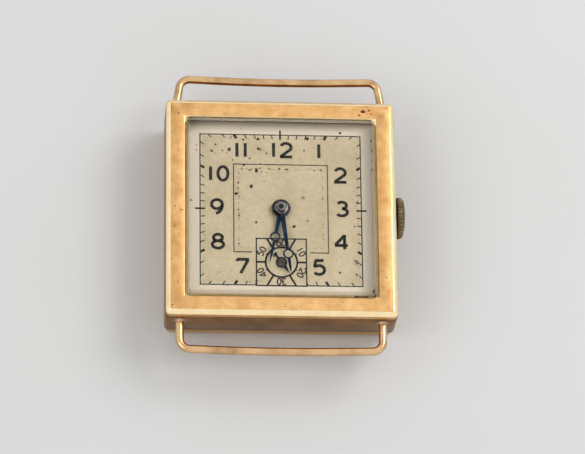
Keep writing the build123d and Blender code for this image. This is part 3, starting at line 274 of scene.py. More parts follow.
class Tree:
    """A small helper that adds nodes to a node tree and joins them."""

    def __init__(self, tree: bpy.types.NodeTree) -> None:
        """Takes the node tree to fill."""
        self.tree = tree

    def link(self, source: Socket, target: Socket) -> None:
        """Joins an output socket to an input socket."""
        self.tree.links.new(source, target)

    def add(
        self, kind: str, links: dict | None = None, values: dict | None = None, **options: object
    ) -> Node:
        """Adds a node.

        Args:
            kind: The node's type name.
            links: Input name or index to the output socket that feeds it.
            values: Input name or index to its own value.
            **options: Properties of the node.

        Returns:
            The new node.
        """
        node = self.tree.nodes.new(kind)
        for key, value in options.items():
            setattr(node, key, value)
        for key, value in (values or {}).items():
            node.inputs[key].default_value = value
        for key, socket in (links or {}).items():
            self.link(socket, node.inputs[key])
        return node

    def math(self, operation: str, first: Value, second: Value | None = None) -> Socket:
        """Adds a Math node.

        Args:
            operation: The operation's name.
            first: A socket or a number.
            second: A socket or a number.

        Returns:
            The result's socket.
        """
        node = self.add("ShaderNodeMath", operation=operation)
        for index, value in enumerate((first, second)):
            if isinstance(value, Socket):
                self.link(value, node.inputs[index])
            elif value is not None:
                node.inputs[index].default_value = value
        return node.outputs[0]

    def times(self, first: Value, second: Value) -> Socket:
        """Multiplies two values."""
        return self.math("MULTIPLY", first, second)

    def off_centre(self, place: Socket) -> tuple[Socket, Socket]:
        """Gives how far a place lies from the middle, along X and along Y."""
        parts = self.add("ShaderNodeSeparateXYZ", {0: place})
        return self.math("ABSOLUTE", parts.outputs[0]), self.math("ABSOLUTE", parts.outputs[1])


def start_material(name: str, **values: Value) -> tuple[bpy.types.Material, Tree, Node, Socket]:
    """Makes an empty material with one principled shader.

    Args:
        name: The material's name.
        **values: Inputs of the shader, with _ for each space in their names.

    Returns:
        The material, its tree, the shader and the object coordinates.
    """
    material = bpy.data.materials.new(name)
    material.use_nodes = True
    material.node_tree.nodes.clear()
    tree = Tree(material.node_tree)
    named = {key.replace("_", " "): value for key, value in values.items()}
    shader = tree.add("ShaderNodeBsdfPrincipled", values=named)
    tree.add("ShaderNodeOutputMaterial", {"Surface": shader.outputs["BSDF"]})
    place = tree.add("ShaderNodeTexCoord").outputs["Object"]
    return material, tree, shader, place


def noise(tree: Tree, place: Socket, scale: float | Place, detail: float) -> Socket:
    """Adds a noise pattern.

    Args:
        tree: The tree to add to.
        place: The coordinates, in metres.
        scale: Repeats per metre, the same for all axes or one number for each.
        detail: The noise's detail.

    Returns:
        The pattern's socket, from 0 to 1.
    """
    scales = (scale,) * 3 if isinstance(scale, float) else scale
    mapping = tree.add("ShaderNodeMapping", {"Vector": place}, {"Scale": scales})
    node = tree.add("ShaderNodeTexNoise", {"Vector": mapping.outputs[0]}, {"Scale": 1.0, "Detail": detail})
    return node.outputs["Fac"]


def ramp(tree: Tree, value: Socket, edges: Point, low: Colour = BLACK, high: Colour = WHITE) -> Socket:
    """Adds a ramp from one colour to another.

    Args:
        tree: The tree to add to.
        value: The input value.
        edges: The input values at which the ramp starts and ends.
        low: The colour below the ramp.
        high: The colour above it.

    Returns:
        The colour's socket.
    """
    node = tree.add("ShaderNodeValToRGB", {"Fac": value})
    for element, edge, colour in zip(node.color_ramp.elements, edges, (low, high)):
        element.position = edge
        element.color = (*colour, 1.0)
    return node.outputs["Color"]


def blend(
    tree: Tree, factor: Value, first: Socket | Colour, second: Socket | Colour, way: Mix = Mix.OVER
) -> Socket:
    """Lays the second colour over the first.

    Args:
        tree: The tree to add to.
        factor: How much of the second shows.
        first: A socket or a colour.
        second: A socket or a colour.
        way: How it is laid over.

    Returns:
        The mixed colour's socket.
    """
    node = tree.add("ShaderNodeMix", data_type="RGBA", blend_type=way.value)
    for index, value in ((0, factor), (6, first), (7, second)):
        if isinstance(value, Socket):
            tree.link(value, node.inputs[index])
        else:
            node.inputs[index].default_value = (*value, 1.0) if index else value
    return node.outputs[2]


def darken(tree: Tree, tone: Socket, shade: Socket) -> Socket:
    """Multiplies a colour by a shade."""
    return blend(tree, 1.0, tone, shade, Mix.DARKENING)


def add_roughness(tree: Tree, shader: Node, pattern: Socket, least: float, spread: float) -> None:
    """Makes a shader's roughness follow a pattern.

    Args:
        tree: The material's tree.
        shader: The shader.
        pattern: The pattern, from 0 to 1.
        least: The roughness where the pattern is 0.
        spread: How much it rises from there to where the pattern is 1.
    """
    rough = tree.math("MULTIPLY_ADD", pattern, spread)
    rough.node.inputs[2].default_value = least
    tree.link(rough, shader.inputs["Roughness"])


def add_relief(tree: Tree, shader: Node, height: Socket, strength: float, depth: float) -> None:
    """Gives a shader a fine relief.

    Args:
        tree: The material's tree.
        shader: The shader.
        height: The relief's pattern.
        strength: How much it shows.
        depth: Its depth, in millimetres.
    """
    bump = tree.add("ShaderNodeBump", {"Height": height}, {"Strength": strength, "Distance": depth * MM})
    tree.link(bump.outputs[0], shader.inputs["Normal"])


def mix_shaders(tree: Tree, factor: Socket, first: Node, second: Node) -> Socket:
    """Mixes two shaders, the second where the factor is 1."""
    both = tree.add("ShaderNodeMixShader", {0: factor, 1: first.outputs[0], 2: second.outputs[0]})
    return both.outputs[0]


def surface_input(tree: Tree) -> Socket:
    """Gives the socket where a material's shader ends."""
    return next(node for node in tree.tree.nodes if node.type == "OUTPUT_MATERIAL").inputs["Surface"]


def seen_rays(tree: Tree) -> Socket:
    """Tells the rays that show the background from those that only light the watch.

    Args:
        tree: The tree to add to.

    Returns:
        A socket that is 1 on rays from the camera, off gloss and through glass, and 0 on the others.
    """
    ray = tree.add("ShaderNodeLightPath")
    seen = tree.math("MAXIMUM", ray.outputs["Is Camera Ray"], ray.outputs["Is Glossy Ray"])
    return tree.math("MAXIMUM", seen, ray.outputs["Is Transmission Ray"])


# Finishes


@dataclass(frozen=True)
class Finish:
    """A named finish, whose kind knows how to make the material.

    In every kind, a pattern's scale is its repeats per metre, and its edges are the two values between
    which the colour or the amount changes.
    """

    name: str

    def material(self) -> bpy.types.Material:
        """Makes the material; each kind of finish does so in its own way."""
        raise NotImplementedError(self.name)


@dataclass(frozen=True)
class MetalFinish(Finish):
    """A worn metal with fine scratches, soft stains and small pits."""

    colour: Colour
    stain: Colour
    roughness: float
    grain_depth: float
    stain_size: float
    stain_strength: float
    grain: Grain = Grain.ROUND
    pits: float = 0.0

    stain_edges: ClassVar[Point] = (0.42, 0.75)
    round_scale: ClassVar[float] = 9000.0
    long_scale: ClassVar[Place] = (500.0, 12000.0, 12000.0)
    x_side_scale: ClassVar[Place] = (500.0, 11000.0, 5000.0)
    y_side_scale: ClassVar[Place] = (11000.0, 500.0, 5000.0)
    grain_side_painted_shade: ClassVar[Colour] = (0.93, 0.9, 0.88)
    pit_scale: ClassVar[float] = 2600.0
    pit_edge: ClassVar[float] = 0.745
    pit_spread: ClassVar[float] = 0.04
    pit_softness: ClassVar[float] = 0.025
    pit_strength: ClassVar[float] = 0.75
    pit_colour: ClassVar[Colour] = (0.09, 0.05, 0.02)
    speck_edges: ClassVar[Point] = (0.3, 0.68)
    speck_shade: ClassVar[Colour] = (0.84, 0.82, 0.8)
    roughness_spread: ClassVar[float] = 0.16
    relief: ClassVar[float] = 0.5

    def scratches(self, tree: Tree, place: Socket, tone: Socket) -> tuple[Socket, Socket]:
        """Adds the fine scratches.

        Args:
            tree: The tree to add to.
            place: The object coordinates.
            tone: The colour so far.

        Returns:
            The pattern of the scratches, and the colour, with a painted shade on the sides whose scratches
            run along Y.
        """
        if self.grain is Grain.ROUND:
            return noise(tree, place, self.round_scale, 2.0), tone
        if self.grain is Grain.LENGTHWISE:
            return noise(tree, place, self.long_scale, 2.0), tone
        upright = tree.math("GREATER_THAN", *tree.off_centre(place))
        along_x = noise(tree, place, self.x_side_scale, 2.0)
        along_y = noise(tree, place, self.y_side_scale, 2.0)
        # Painted shade: the left and right sides, whose scratches run along Y, are darkened.
        tone = darken(tree, tone, blend(tree, upright, WHITE, self.grain_side_painted_shade))
        return blend(tree, upright, along_x, along_y), tone

    def pitted(self, tree: Tree, place: Socket, tone: Socket) -> Socket:
        """Adds small dark pits to the colour.

        Args:
            tree: The tree to add to.
            place: The object coordinates.
            tone: The colour so far.

        Returns:
            The colour's socket.
        """
        dots = noise(tree, place, self.pit_scale, 1.0)
        edge = self.pit_edge - self.pit_spread * self.pits
        mark = ramp(tree, dots, (edge, edge + self.pit_softness))
        return blend(tree, tree.times(mark, self.pit_strength), tone, self.pit_colour)

    def local_tone(self, tree: Tree, place: Socket, tone: Socket) -> Socket:
        """Changes the colour in places; a plain metal keeps it."""
        return tone

    def material(self) -> bpy.types.Material:
        """Makes the material.

        Returns:
            A node material on object coordinates.
        """
        material, tree, shader, place = start_material(self.name, Metallic=1.0)
        cloud = noise(tree, place, 1 / (self.stain_size * MM), 4.0)
        patch = tree.times(ramp(tree, cloud, self.stain_edges), self.stain_strength)
        tone = blend(tree, patch, self.colour, self.stain)
        lines, tone = self.scratches(tree, place, tone)
        if self.pits:
            tone = self.pitted(tree, place, tone)
        tone = darken(tree, tone, ramp(tree, lines, self.speck_edges, self.speck_shade))
        tree.link(self.local_tone(tree, place, tone), shader.inputs["Base Color"])
        add_roughness(tree, shader, lines, self.roughness - self.roughness_spread / 2, self.roughness_spread)
        add_relief(tree, shader, lines, self.relief, self.grain_depth)
        return material


@dataclass(frozen=True)
class BezelFinish(MetalFinish):
    """Worn gold that has tarnished towards the corners and dulled in small patches."""

    tarnish: Colour = (0.42, 0.185, 0.055)
    light: Colour = (0.95, 0.68, 0.36)
    start: float = 8.6
    end: float = 12.4

    patch_scale: ClassVar[float] = 900.0
    pale_edges: ClassVar[Point] = (0.5, 0.72)
    pale_strength: ClassVar[float] = 0.3
    dull_edges: ClassVar[Point] = (0.28, 0.47)
    dull_shade: ClassVar[Colour] = (0.90, 0.85, 0.78)
    upper_end: ClassVar[float] = 12.0
    lower_share: ClassVar[float] = 0.45
    cloud_scale: ClassVar[float] = 650.0
    cloud_edges: ClassVar[Point] = (0.38, 0.62)

    def local_tone(self, tree: Tree, place: Socket, tone: Socket) -> Socket:
        """Mottles the gold and browns its corners.

        Args:
            tree: The tree to add to.
            place: The object coordinates.
            tone: The colour so far.

        Returns:
            The colour's socket.
        """
        patches = noise(tree, place, self.patch_scale, 5.0)
        pale = tree.times(ramp(tree, patches, self.pale_edges), self.pale_strength)
        tone = blend(tree, pale, tone, self.light)
        tone = darken(tree, tone, ramp(tree, patches, self.dull_edges, self.dull_shade))
        return blend(tree, self.tarnished(tree, place), tone, self.tarnish)

    def tarnished(self, tree: Tree, place: Socket) -> Socket:
        """Gives how brown a place is: most in the two upper corners.

        Args:
            tree: The tree to add to.
            place: The object coordinates.

        Returns:
            The amount's socket, from 0 to 1.
        """
        reach = tree.math("MINIMUM", *tree.off_centre(place))
        limits = {"From Min": self.start * MM, "From Max": self.end * MM}
        corner = tree.add("ShaderNodeMapRange", {"Value": reach}, limits).outputs[0]
        level = tree.add("ShaderNodeSeparateXYZ", {0: place}).outputs[1]
        limits = {"From Min": 0.0, "From Max": self.upper_end * MM, "To Min": self.lower_share}
        upper = tree.add("ShaderNodeMapRange", {"Value": level}, limits).outputs[0]
        cloud = ramp(tree, noise(tree, place, self.cloud_scale, 6.0), self.cloud_edges)
        return tree.times(tree.times(corner, cloud), upper)


@dataclass(frozen=True)
class HandFinish(MetalFinish):
    """Blued steel with a grey middle to its hub inside an uneven dark ring."""

    hub_y: float = 0.0
    hub: float = 1.06
    inner: float = 0.0
    dark: Colour = (0.026, 0.022, 0.022)
    grey: Colour = (0.15, 0.135, 0.13)

    wobble_scale: ClassVar[float] = 1800.0
    wobble: ClassVar[float] = 0.22
    hub_margin: ClassVar[float] = 0.13
    inner_margin: ClassVar[float] = 0.11

    def local_tone(self, tree: Tree, place: Socket, tone: Socket) -> Socket:
        """Greys the hub inside an uneven dark ring.

        Args:
            tree: The tree to add to.
            place: The object coordinates.
            tone: The colour so far.

        Returns:
            The colour's socket.
        """
        shift = (0.0, -self.hub_y * MM, 0.0)
        centred = tree.add("ShaderNodeVectorMath", {0: place}, {1: shift}, operation="ADD").outputs[0]
        flat = tree.add("ShaderNodeVectorMath", {0: centred}, {1: (1.0, 1.0, 0.0)}, operation="MULTIPLY")
        reach = tree.add("ShaderNodeVectorMath", {0: flat.outputs[0]}, operation="LENGTH").outputs["Value"]
        wobble = tree.times(noise(tree, place, self.wobble_scale, 3.0), self.wobble * MM)
        reach = tree.math("ADD", reach, wobble)
        rim = tree.math("LESS_THAN", reach, (self.hub + self.hub_margin) * MM)
        core = tree.math("LESS_THAN", reach, (self.inner + self.inner_margin) * MM)
        return blend(tree, core, blend(tree, rim, tone, self.dark), self.grey)


@dataclass(frozen=True)
class DialFinish(Finish):
    """Aged silvered lacquer, creamy in the middle and paler at the margin, with small spots, and a painted
    shade at its outer edge, under the bezel.
    """

    name: str = "aged_dial"
    cream: Colour = (0.495, 0.40, 0.262)
    pale: Colour = (0.565, 0.465, 0.32)
    margin: Colour = (0.70, 0.605, 0.495)
    mottle_shade: Colour = (0.88, 0.87, 0.85)
    bezel_painted_shade: Colour = (0.8, 0.78, 0.74)
    spot: Colour = (0.07, 0.045, 0.03)
    track_half: float = 8.9
    edge_half: float = 10.2
    roughness: float = 0.42
    roughness_spread: float = 0.2
    relief: float = 0.25
    relief_depth: float = 0.003

    cloud_scale: ClassVar[float] = 260.0
    cloud_edges: ClassVar[Point] = (0.35, 0.65)
    mottle_scale: ClassVar[float] = 2400.0
    mottle_edges: ClassVar[Point] = (0.32, 0.62)
    margin_softness: ClassVar[Point] = (-0.03, 0.02)
    painted_shade_edges: ClassVar[Point] = (0.96, 1.0)
    spot_scale: ClassVar[float] = 780.0
    spot_chance_scale: ClassVar[float] = 420.0
    spot_least: ClassVar[float] = 0.50
    spot_strength: ClassVar[float] = 0.85
    fleck_scale: ClassVar[float] = 5200.0
    fleck_least: ClassVar[float] = 0.42

    def tone(self, tree: Tree, place: Socket, cloud: Socket) -> Socket:
        """Gives the lacquer's colour without its spots.

        Args:
            tree: The tree to add to.
            place: The object coordinates.
            cloud: The pattern of its soft clouds.

        Returns:
            The colour's socket.
        """
        tone = ramp(tree, cloud, self.cloud_edges, self.cream, self.pale)
        mottle = noise(tree, place, self.mottle_scale, 4.0)
        tone = darken(tree, tone, ramp(tree, mottle, self.mottle_edges, self.mottle_shade))
        reach = tree.math("MAXIMUM", *tree.off_centre(place))
        reach = tree.math("DIVIDE", reach, self.edge_half * MM)
        inner = self.track_half / self.edge_half
        before, after = self.margin_softness
        rim = ramp(tree, reach, (inner + before, inner + after))
        tone = blend(tree, rim, tone, self.margin)
        # Painted shade: the dial darkens at its outer edge, where the bezel shades it.
        return darken(tree, tone, ramp(tree, reach, self.painted_shade_edges, WHITE, self.bezel_painted_shade))

    def spots(self, tree: Tree, place: Socket, fleck: Socket) -> Socket:
        """Gives the pattern of the small spots.

        Args:
            tree: The tree to add to.
            place: The object coordinates.
            fleck: A fine pattern that breaks their edges.

        Returns:
            The pattern's socket, 1 on a spot.
        """
        flat = tree.add("ShaderNodeMapping", {"Vector": place}, {"Scale": (1.0, 1.0, 0.0)}).outputs[0]
        values = {"Scale": self.spot_scale, "Randomness": 1.0}
        dots = tree.add("ShaderNodeTexVoronoi", {"Vector": flat}, values)
        chance = noise(tree, place, self.spot_chance_scale, 2.0)
        size = tree.math("SUBTRACT", chance, self.spot_least)
        spots = tree.math("LESS_THAN", dots.outputs["Distance"], size)
        return tree.times(spots, tree.math("GREATER_THAN", fleck, self.fleck_least))

    def material(self) -> bpy.types.Material:
        """Makes the material.

        Returns:
            A node material on object coordinates.
        """
        material, tree, shader, place = start_material(self.name, Metallic=0.05, Specular_IOR_Level=0.3)
        cloud = noise(tree, place, self.cloud_scale, 5.0)
        fleck = noise(tree, place, self.fleck_scale, 2.0)
        spots = tree.times(self.spots(tree, place, fleck), self.spot_strength)
        tone = blend(tree, spots, self.tone(tree, place, cloud), self.spot)
        tree.link(tone, shader.inputs["Base Color"])
        add_roughness(tree, shader, cloud, self.roughness, self.roughness_spread)
        add_relief(tree, shader, fleck, self.relief, self.relief_depth)
        return material


@dataclass(frozen=True)
class InkFinish(Finish):
    """Printed enamel ink that has thinned in places."""

    colour: Colour
    thin: Colour
    roughness: float = 0.6
    gloss: float = 0.2
    wear_scale: float = 2200.0
    wear_edges: Point = (0.45, 0.72)

    def material(self) -> bpy.types.Material:
        """Makes the material.

        Returns:
            A node material on object coordinates.
        """
        options = {"Roughness": self.roughness, "Specular_IOR_Level": self.gloss}
        material, tree, shader, place = start_material(self.name, **options)
        wear = noise(tree, place, self.wear_scale, 4.0)
        tree.link(ramp(tree, wear, self.wear_edges, self.colour, self.thin), shader.inputs["Base Color"])
        return material


@dataclass(frozen=True)
class CrystalFinish(Finish):
    """Clear, slightly warm glass with faint scratches."""

    name: str = "crystal_glass"
    tint: Colour = (0.985, 0.99, 0.975)
    ior: float = 1.14
    scratch_scale: Place = (300.0, 9000.0, 9000.0)
    scratch_least: float = 0.7
    scratch_roughness: float = 0.05

    def material(self) -> bpy.types.Material:
        """Makes the material, which lets light through for shadows.

        Returns:
            A node material on object coordinates.
        """
        material, tree, shader, place = start_material(self.name, Transmission_Weight=1.0, IOR=self.ior)
        shader.inputs["Base Color"].default_value = (*self.tint, 1.0)
        scratch = noise(tree, place, self.scratch_scale, 2.0)
        rough = tree.times(tree.math("GREATER_THAN", scratch, self.scratch_least), self.scratch_roughness)
        tree.link(rough, shader.inputs["Roughness"])
        clear = tree.add("ShaderNodeBsdfTransparent", values={"Color": (*self.tint, 1.0)})
        shadow = tree.add("ShaderNodeLightPath").outputs["Is Shadow Ray"]
        tree.link(mix_shaders(tree, shadow, shader, clear), surface_input(tree))
        return material


@dataclass(frozen=True)
class EdgeFinish(Finish):
    """The crystal's worn, milky edge."""

    name: str = "crystal_edge"
    colour: Colour = (0.66, 0.60, 0.47)
    pale: Colour = (0.78, 0.73, 0.62)
    ior: float = 1.14
    clearness: float = 0.75
    roughness: float = 0.35
    cloud_scale: float = 1200.0
    cloud_edges: Point = (0.3, 0.7)

    def material(self) -> bpy.types.Material:
        """Makes the material.

        Returns:
            A node material on object coordinates.
        """
        options = {"Roughness": self.roughness, "Transmission_Weight": self.clearness, "IOR": self.ior}
        material, tree, shader, place = start_material(self.name, **options)
        cloud = noise(tree, place, self.cloud_scale, 3.0)
        tree.link(ramp(tree, cloud, self.cloud_edges, self.colour, self.pale), shader.inputs["Base Color"])
        return material


@dataclass(frozen=True)
class JewelFinish(Finish):
    """Polished red synthetic ruby."""

    name: str = "ruby_jewel"
    colour: Colour = (0.55, 0.02, 0.08)
    light: Colour = (0.7, 0.05, 0.12)
    roughness: float = 0.08
    coat: float = 0.6
    cloud_scale: float = 1500.0
    cloud_edges: Point = (0.3, 0.8)

    def material(self) -> bpy.types.Material:
        """Makes the material.

        Returns:
            A node material on object coordinates.
        """
        options = {"Roughness": self.roughness, "Coat_Weight": self.coat}
        material, tree, shader, place = start_material(self.name, **options)
        cloud = noise(tree, place, self.cloud_scale, 2.0)
        tree.link(ramp(tree, cloud, self.cloud_edges, self.colour, self.light), shader.inputs["Base Color"])
        return material


GOLD = BezelFinish(
    "worn_gold", (0.78, 0.465, 0.19), (0.62, 0.31, 0.10), roughness=0.36, grain=Grain.ALONG_SIDES,
    grain_depth=0.008, stain_size=2.6, stain_strength=0.5, pits=0.3,
)
# Painted highlight: a paler gold for the light on the bezel's slopes, which are also more polished.
HIGHLIGHT_GOLD = MetalFinish(
    "painted_highlight_gold", (1.0, 0.82, 0.50), (0.90, 0.62, 0.30), roughness=0.2,
    grain_depth=0.002, stain_size=2.0, stain_strength=0.6,
)
# Painted shade: the band's dark brown stands mostly for the dark reflection on its sides, and partly for
# tarnish.
SHADED_BAND_GOLD = MetalFinish(
    "band_gold_painted_shade", (0.32, 0.165, 0.055), (0.13, 0.055, 0.018), roughness=0.33, grain=Grain.ALONG_SIDES,
    grain_depth=0.004, stain_size=3.0, stain_strength=0.8, pits=0.2,
)
BACK_GOLD = MetalFinish(
    "back_gold", (0.72, 0.42, 0.16), (0.46, 0.23, 0.08), roughness=0.30,
    grain_depth=0.004, stain_size=4.0, stain_strength=0.6, pits=0.1,
)
# Partly painted shade: the gold is darkened, and its dark brown patches stand for the wires' dark sides as
# well as for tarnish.
WIRE_GOLD = MetalFinish(
    "wire_gold", (0.74, 0.49, 0.26), (0.32, 0.16, 0.065), roughness=0.2, grain=Grain.LENGTHWISE,
    grain_depth=0.003, stain_size=2.2, stain_strength=0.7,
)
SOLDER = MetalFinish(
    "grey_solder", (0.50, 0.38, 0.26), (0.24, 0.18, 0.13), roughness=0.45,
    grain_depth=0.012, stain_size=0.7, stain_strength=0.8,
)
# Painted shade: the crown's very dark brown stands for the dark reflection on the case's side, not for the
# gold's own colour.
SHADED_CROWN_GOLD = MetalFinish(
    "crown_gold_painted_shade", (0.20, 0.15, 0.085), (0.08, 0.06, 0.04), roughness=0.36,
    grain_depth=0.004, stain_size=1.0, stain_strength=0.8,
)
BLUED = MetalFinish(
    "blued_steel", (0.016, 0.034, 0.085), (0.010, 0.012, 0.020), roughness=0.24,
    grain_depth=0.002, stain_size=0.8, stain_strength=0.8,
)
HOUR_STEEL = HandFinish(
    "hour_hand_steel", (0.011, 0.027, 0.055), (0.008, 0.010, 0.016), roughness=0.24,
    grain_depth=0.002, stain_size=0.8, stain_strength=0.8,
)
MINUTE_STEEL = replace(HOUR_STEEL, name="minute_hand_steel", hub=0.79, inner=0.72)
SECONDS_STEEL = replace(HOUR_STEEL, name="seconds_hand_steel", hub_y=-6.25, hub=0.6)
BOSS = MetalFinish(
    "seconds_boss", (0.085, 0.068, 0.06), (0.035, 0.03, 0.028), roughness=0.5,
    grain_depth=0.003, stain_size=0.5, stain_strength=0.7,
)
PIPE_STEEL = MetalFinish(
    "cannon_steel", (0.17, 0.165, 0.155), (0.08, 0.077, 0.07), roughness=0.42,
    grain_depth=0.003, stain_size=0.4, stain_strength=0.7,
)
STEEL = MetalFinish(
    "polished_steel", (0.62, 0.62, 0.61), (0.48, 0.46, 0.43), roughness=0.2,
    grain_depth=0.002, stain_size=1.5, stain_strength=0.4,
)
SPRING = MetalFinish(
    "spring_steel", (0.33, 0.34, 0.38), (0.22, 0.22, 0.26), roughness=0.25,
    grain_depth=0.002, stain_size=1.0, stain_strength=0.4,
)
NICKEL = MetalFinish(
    "nickel_plate", (0.66, 0.64, 0.58), (0.56, 0.52, 0.44), roughness=0.33, grain=Grain.LENGTHWISE,
    grain_depth=0.003, stain_size=3.0, stain_strength=0.4,
)
BRASS = MetalFinish(
    "gilt_brass", (0.78, 0.56, 0.22), (0.62, 0.40, 0.14), roughness=0.28,
    grain_depth=0.003, stain_size=2.0, stain_strength=0.4,
)
CRYSTAL = CrystalFinish()
CRYSTAL_EDGE = EdgeFinish()
LACQUER = DialFinish()
RUBY = JewelFinish()
INK = InkFinish("dial_ink", (0.007, 0.006, 0.005), (0.035, 0.03, 0.024))
# Painted shade: the black of the disc that stands for the hole in the middle of the hands.
HOLE_SHADE_BLACK = InkFinish("painted_hole_shade", (0.004, 0.004, 0.004), (0.008, 0.007, 0.006))
PALE_INK = InkFinish("pale_ink", (0.13, 0.11, 0.075), (0.36, 0.31, 0.22))
LINE_INK = InkFinish("line_ink", (0.03, 0.026, 0.02), (0.15, 0.13, 0.095))
STAIN_INK = InkFinish("brown_stain", (0.06, 0.028, 0.010), (0.22, 0.11, 0.04))
SPOT_INK = InkFinish("dark_spots", (0.02, 0.013, 0.008), (0.09, 0.065, 0.04))

SLOT_FINISHES: dict[str, Finish] = {
    "gold": BACK_GOLD,
    "glass": CRYSTAL,
    "dial": LACQUER,
    "blued_steel": BLUED,
    "steel": STEEL,
    "spring_steel": SPRING,
    "nickel": NICKEL,
    "brass": BRASS,
    "ruby": RUBY,
}


class Workshop:
    """Makes each finish's material once and hands it out."""

    def __init__(self) -> None:
        """Starts with no material made."""
        self.made: dict[str, bpy.types.Material] = {}

    def material(self, finish: Finish) -> bpy.types.Material:
        """Hands out a finish's material, which is made the first time.

        Args:
            finish: The finish.

        Returns:
            Its material.
        """
        if finish.name not in self.made:
            self.made[finish.name] = finish.material()
        return self.made[finish.name]

    def dress(self, obj: MeshObject, finish: Finish) -> None:
        """Gives an object one finish all over."""
        obj.data.materials.clear()
        obj.data.materials.append(self.material(finish))


workshop = Workshop()


def settle(obj: MeshObject, finish: Finish, body: str, slot: str, *nodes: str) -> MeshObject:
    """Gives a piece its finish, its body and the CAD nodes that it stands for.

    Args:
        obj: The piece.
        finish: Its finish.
        body: The CAD body it moves with.
        slot: The record's material slot; not used.
        *nodes: The CAD nodes that it replaces.

    Returns:
        The same piece.
    """
    workshop.dress(obj, finish)
    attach(obj, body)
    if nodes:
        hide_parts(*nodes)
    log.info("%s on %s: %d faces", obj.name, body, len(obj.data.polygons))
    return obj


def second_finish(obj: MeshObject, finish: Finish, chosen: Callable[[Vector, Vector], bool]) -> None:
    """Gives some faces of a dressed piece another finish.

    Args:
        obj: The piece.
        finish: The other finish.
        chosen: Tells from a face's centre, in millimetres, and its normal whether it gets that finish.
    """
    obj.data.materials.append(workshop.material(finish))
    for face in obj.data.polygons:
        if chosen(face.center / MM, face.normal):
            face.material_index = len(obj.data.materials) - 1


def run_tree(obj: MeshObject, tree: bpy.types.NodeTree, values: dict[str, object]) -> MeshObject:
    """Runs a geometry tree on an object and keeps the result as a mesh.

    Args:
        obj: The object whose mesh goes in.
        tree: The geometry node tree.
        values: Input name to value.

    Returns:
        The same object with the result as its mesh.
    """
    modifier = obj.modifiers.new("pattern", "NODES")
    modifier.node_group = tree
    for item in tree.interface.items_tree:
        if item.item_type == "SOCKET" and item.in_out == "INPUT" and item.name in values:
            modifier[item.identifier] = values[item.name]
    return baked(obj)


def geometry_tree(name: str, sockets: Sequence[tuple[str, str]]) -> tuple[Tree, Node, Node]:
    """Starts a geometry node tree.

    Args:
        name: The tree's name.
        sockets: Names and types of the inputs after the geometry.

    Returns:
        The tree helper, the group input and the group output.
    """
    group = bpy.data.node_groups.new(name, "GeometryNodeTree")
    group.interface.new_socket("Geometry", in_out="INPUT", socket_type="NodeSocketGeometry")
    group.interface.new_socket("Geometry", in_out="OUTPUT", socket_type="NodeSocketGeometry")
    for label, kind in sockets:
        group.interface.new_socket(label, in_out="INPUT", socket_type=kind)
    tree = Tree(group)
    return tree, tree.add("NodeGroupInput"), tree.add("NodeGroupOutput")


def end_tree(tree: Tree, shape: Socket, source: Node, target: Node) -> None:
    """Ends a geometry tree in Realize Instances and Set Material.

    Args:
        tree: The tree helper.
        shape: The geometry to end with.
        source: The group input, which has a Material socket.
        target: The group output.
    """
    real = tree.add("GeometryNodeRealizeInstances", {0: shape})
    inputs = {"Geometry": real.outputs[0], "Material": source.outputs["Material"]}
    dressed = tree.add("GeometryNodeSetMaterial", inputs)
    tree.link(dressed.outputs[0], target.inputs[0])


def wire_tree() -> bpy.types.NodeTree:
    """Makes a tree that turns a chain of edges into a bent round wire.

    Returns:
        The geometry node tree.
    """
    sockets = [
        ("Wire radius", "NodeSocketFloat"),
        ("Bend radius", "NodeSocketFloat"),
        ("Bend steps", "NodeSocketInt"),
        ("Sides", "NodeSocketInt"),
        ("Material", "NodeSocketMaterial"),
    ]
    tree, source, target = geometry_tree("bent_wire", sockets)
    line = tree.add("GeometryNodeMeshToCurve", {0: source.outputs["Geometry"]})
    inputs = {
        "Curve": line.outputs[0],
        "Radius": source.outputs["Bend radius"],
        "Count": source.outputs["Bend steps"],
    }
    bent = tree.add("GeometryNodeFilletCurve", inputs, mode="POLY")
    inputs = {"Resolution": source.outputs["Sides"], "Radius": source.outputs["Wire radius"]}
    ring = tree.add("GeometryNodeCurvePrimitiveCircle", inputs)
    inputs = {"Curve": bent.outputs[0], "Profile Curve": ring.outputs[0]}
    tube = tree.add("GeometryNodeCurveToMesh", inputs, {"Fill Caps": True})
    end_tree(tree, tube.outputs[0], source, target)
    return tree.tree


def flute_tree() -> bpy.types.NodeTree:
    """Makes a tree that repeats a rib round the X axis.

    Returns:
        The geometry node tree.
    """
    sockets = [("Count", "NodeSocketInt"), ("Material", "NodeSocketMaterial")]
    tree, source, target = geometry_tree("crown_flutes", sockets)
    points = tree.add("GeometryNodePoints", {"Count": source.outputs["Count"]})
    index = tree.add("GeometryNodeInputIndex").outputs[0]
    turn = tree.math("DIVIDE", tree.times(index, 2 * math.pi), source.outputs["Count"])
    angles = tree.add("ShaderNodeCombineXYZ", {"X": turn})
    inputs = {
        "Points": points.outputs[0],
        "Instance": source.outputs["Geometry"],
        "Rotation": angles.outputs[0],
    }
    copies = tree.add("GeometryNodeInstanceOnPoints", inputs)
    end_tree(tree, copies.outputs[0], source, target)
    return tree.tree


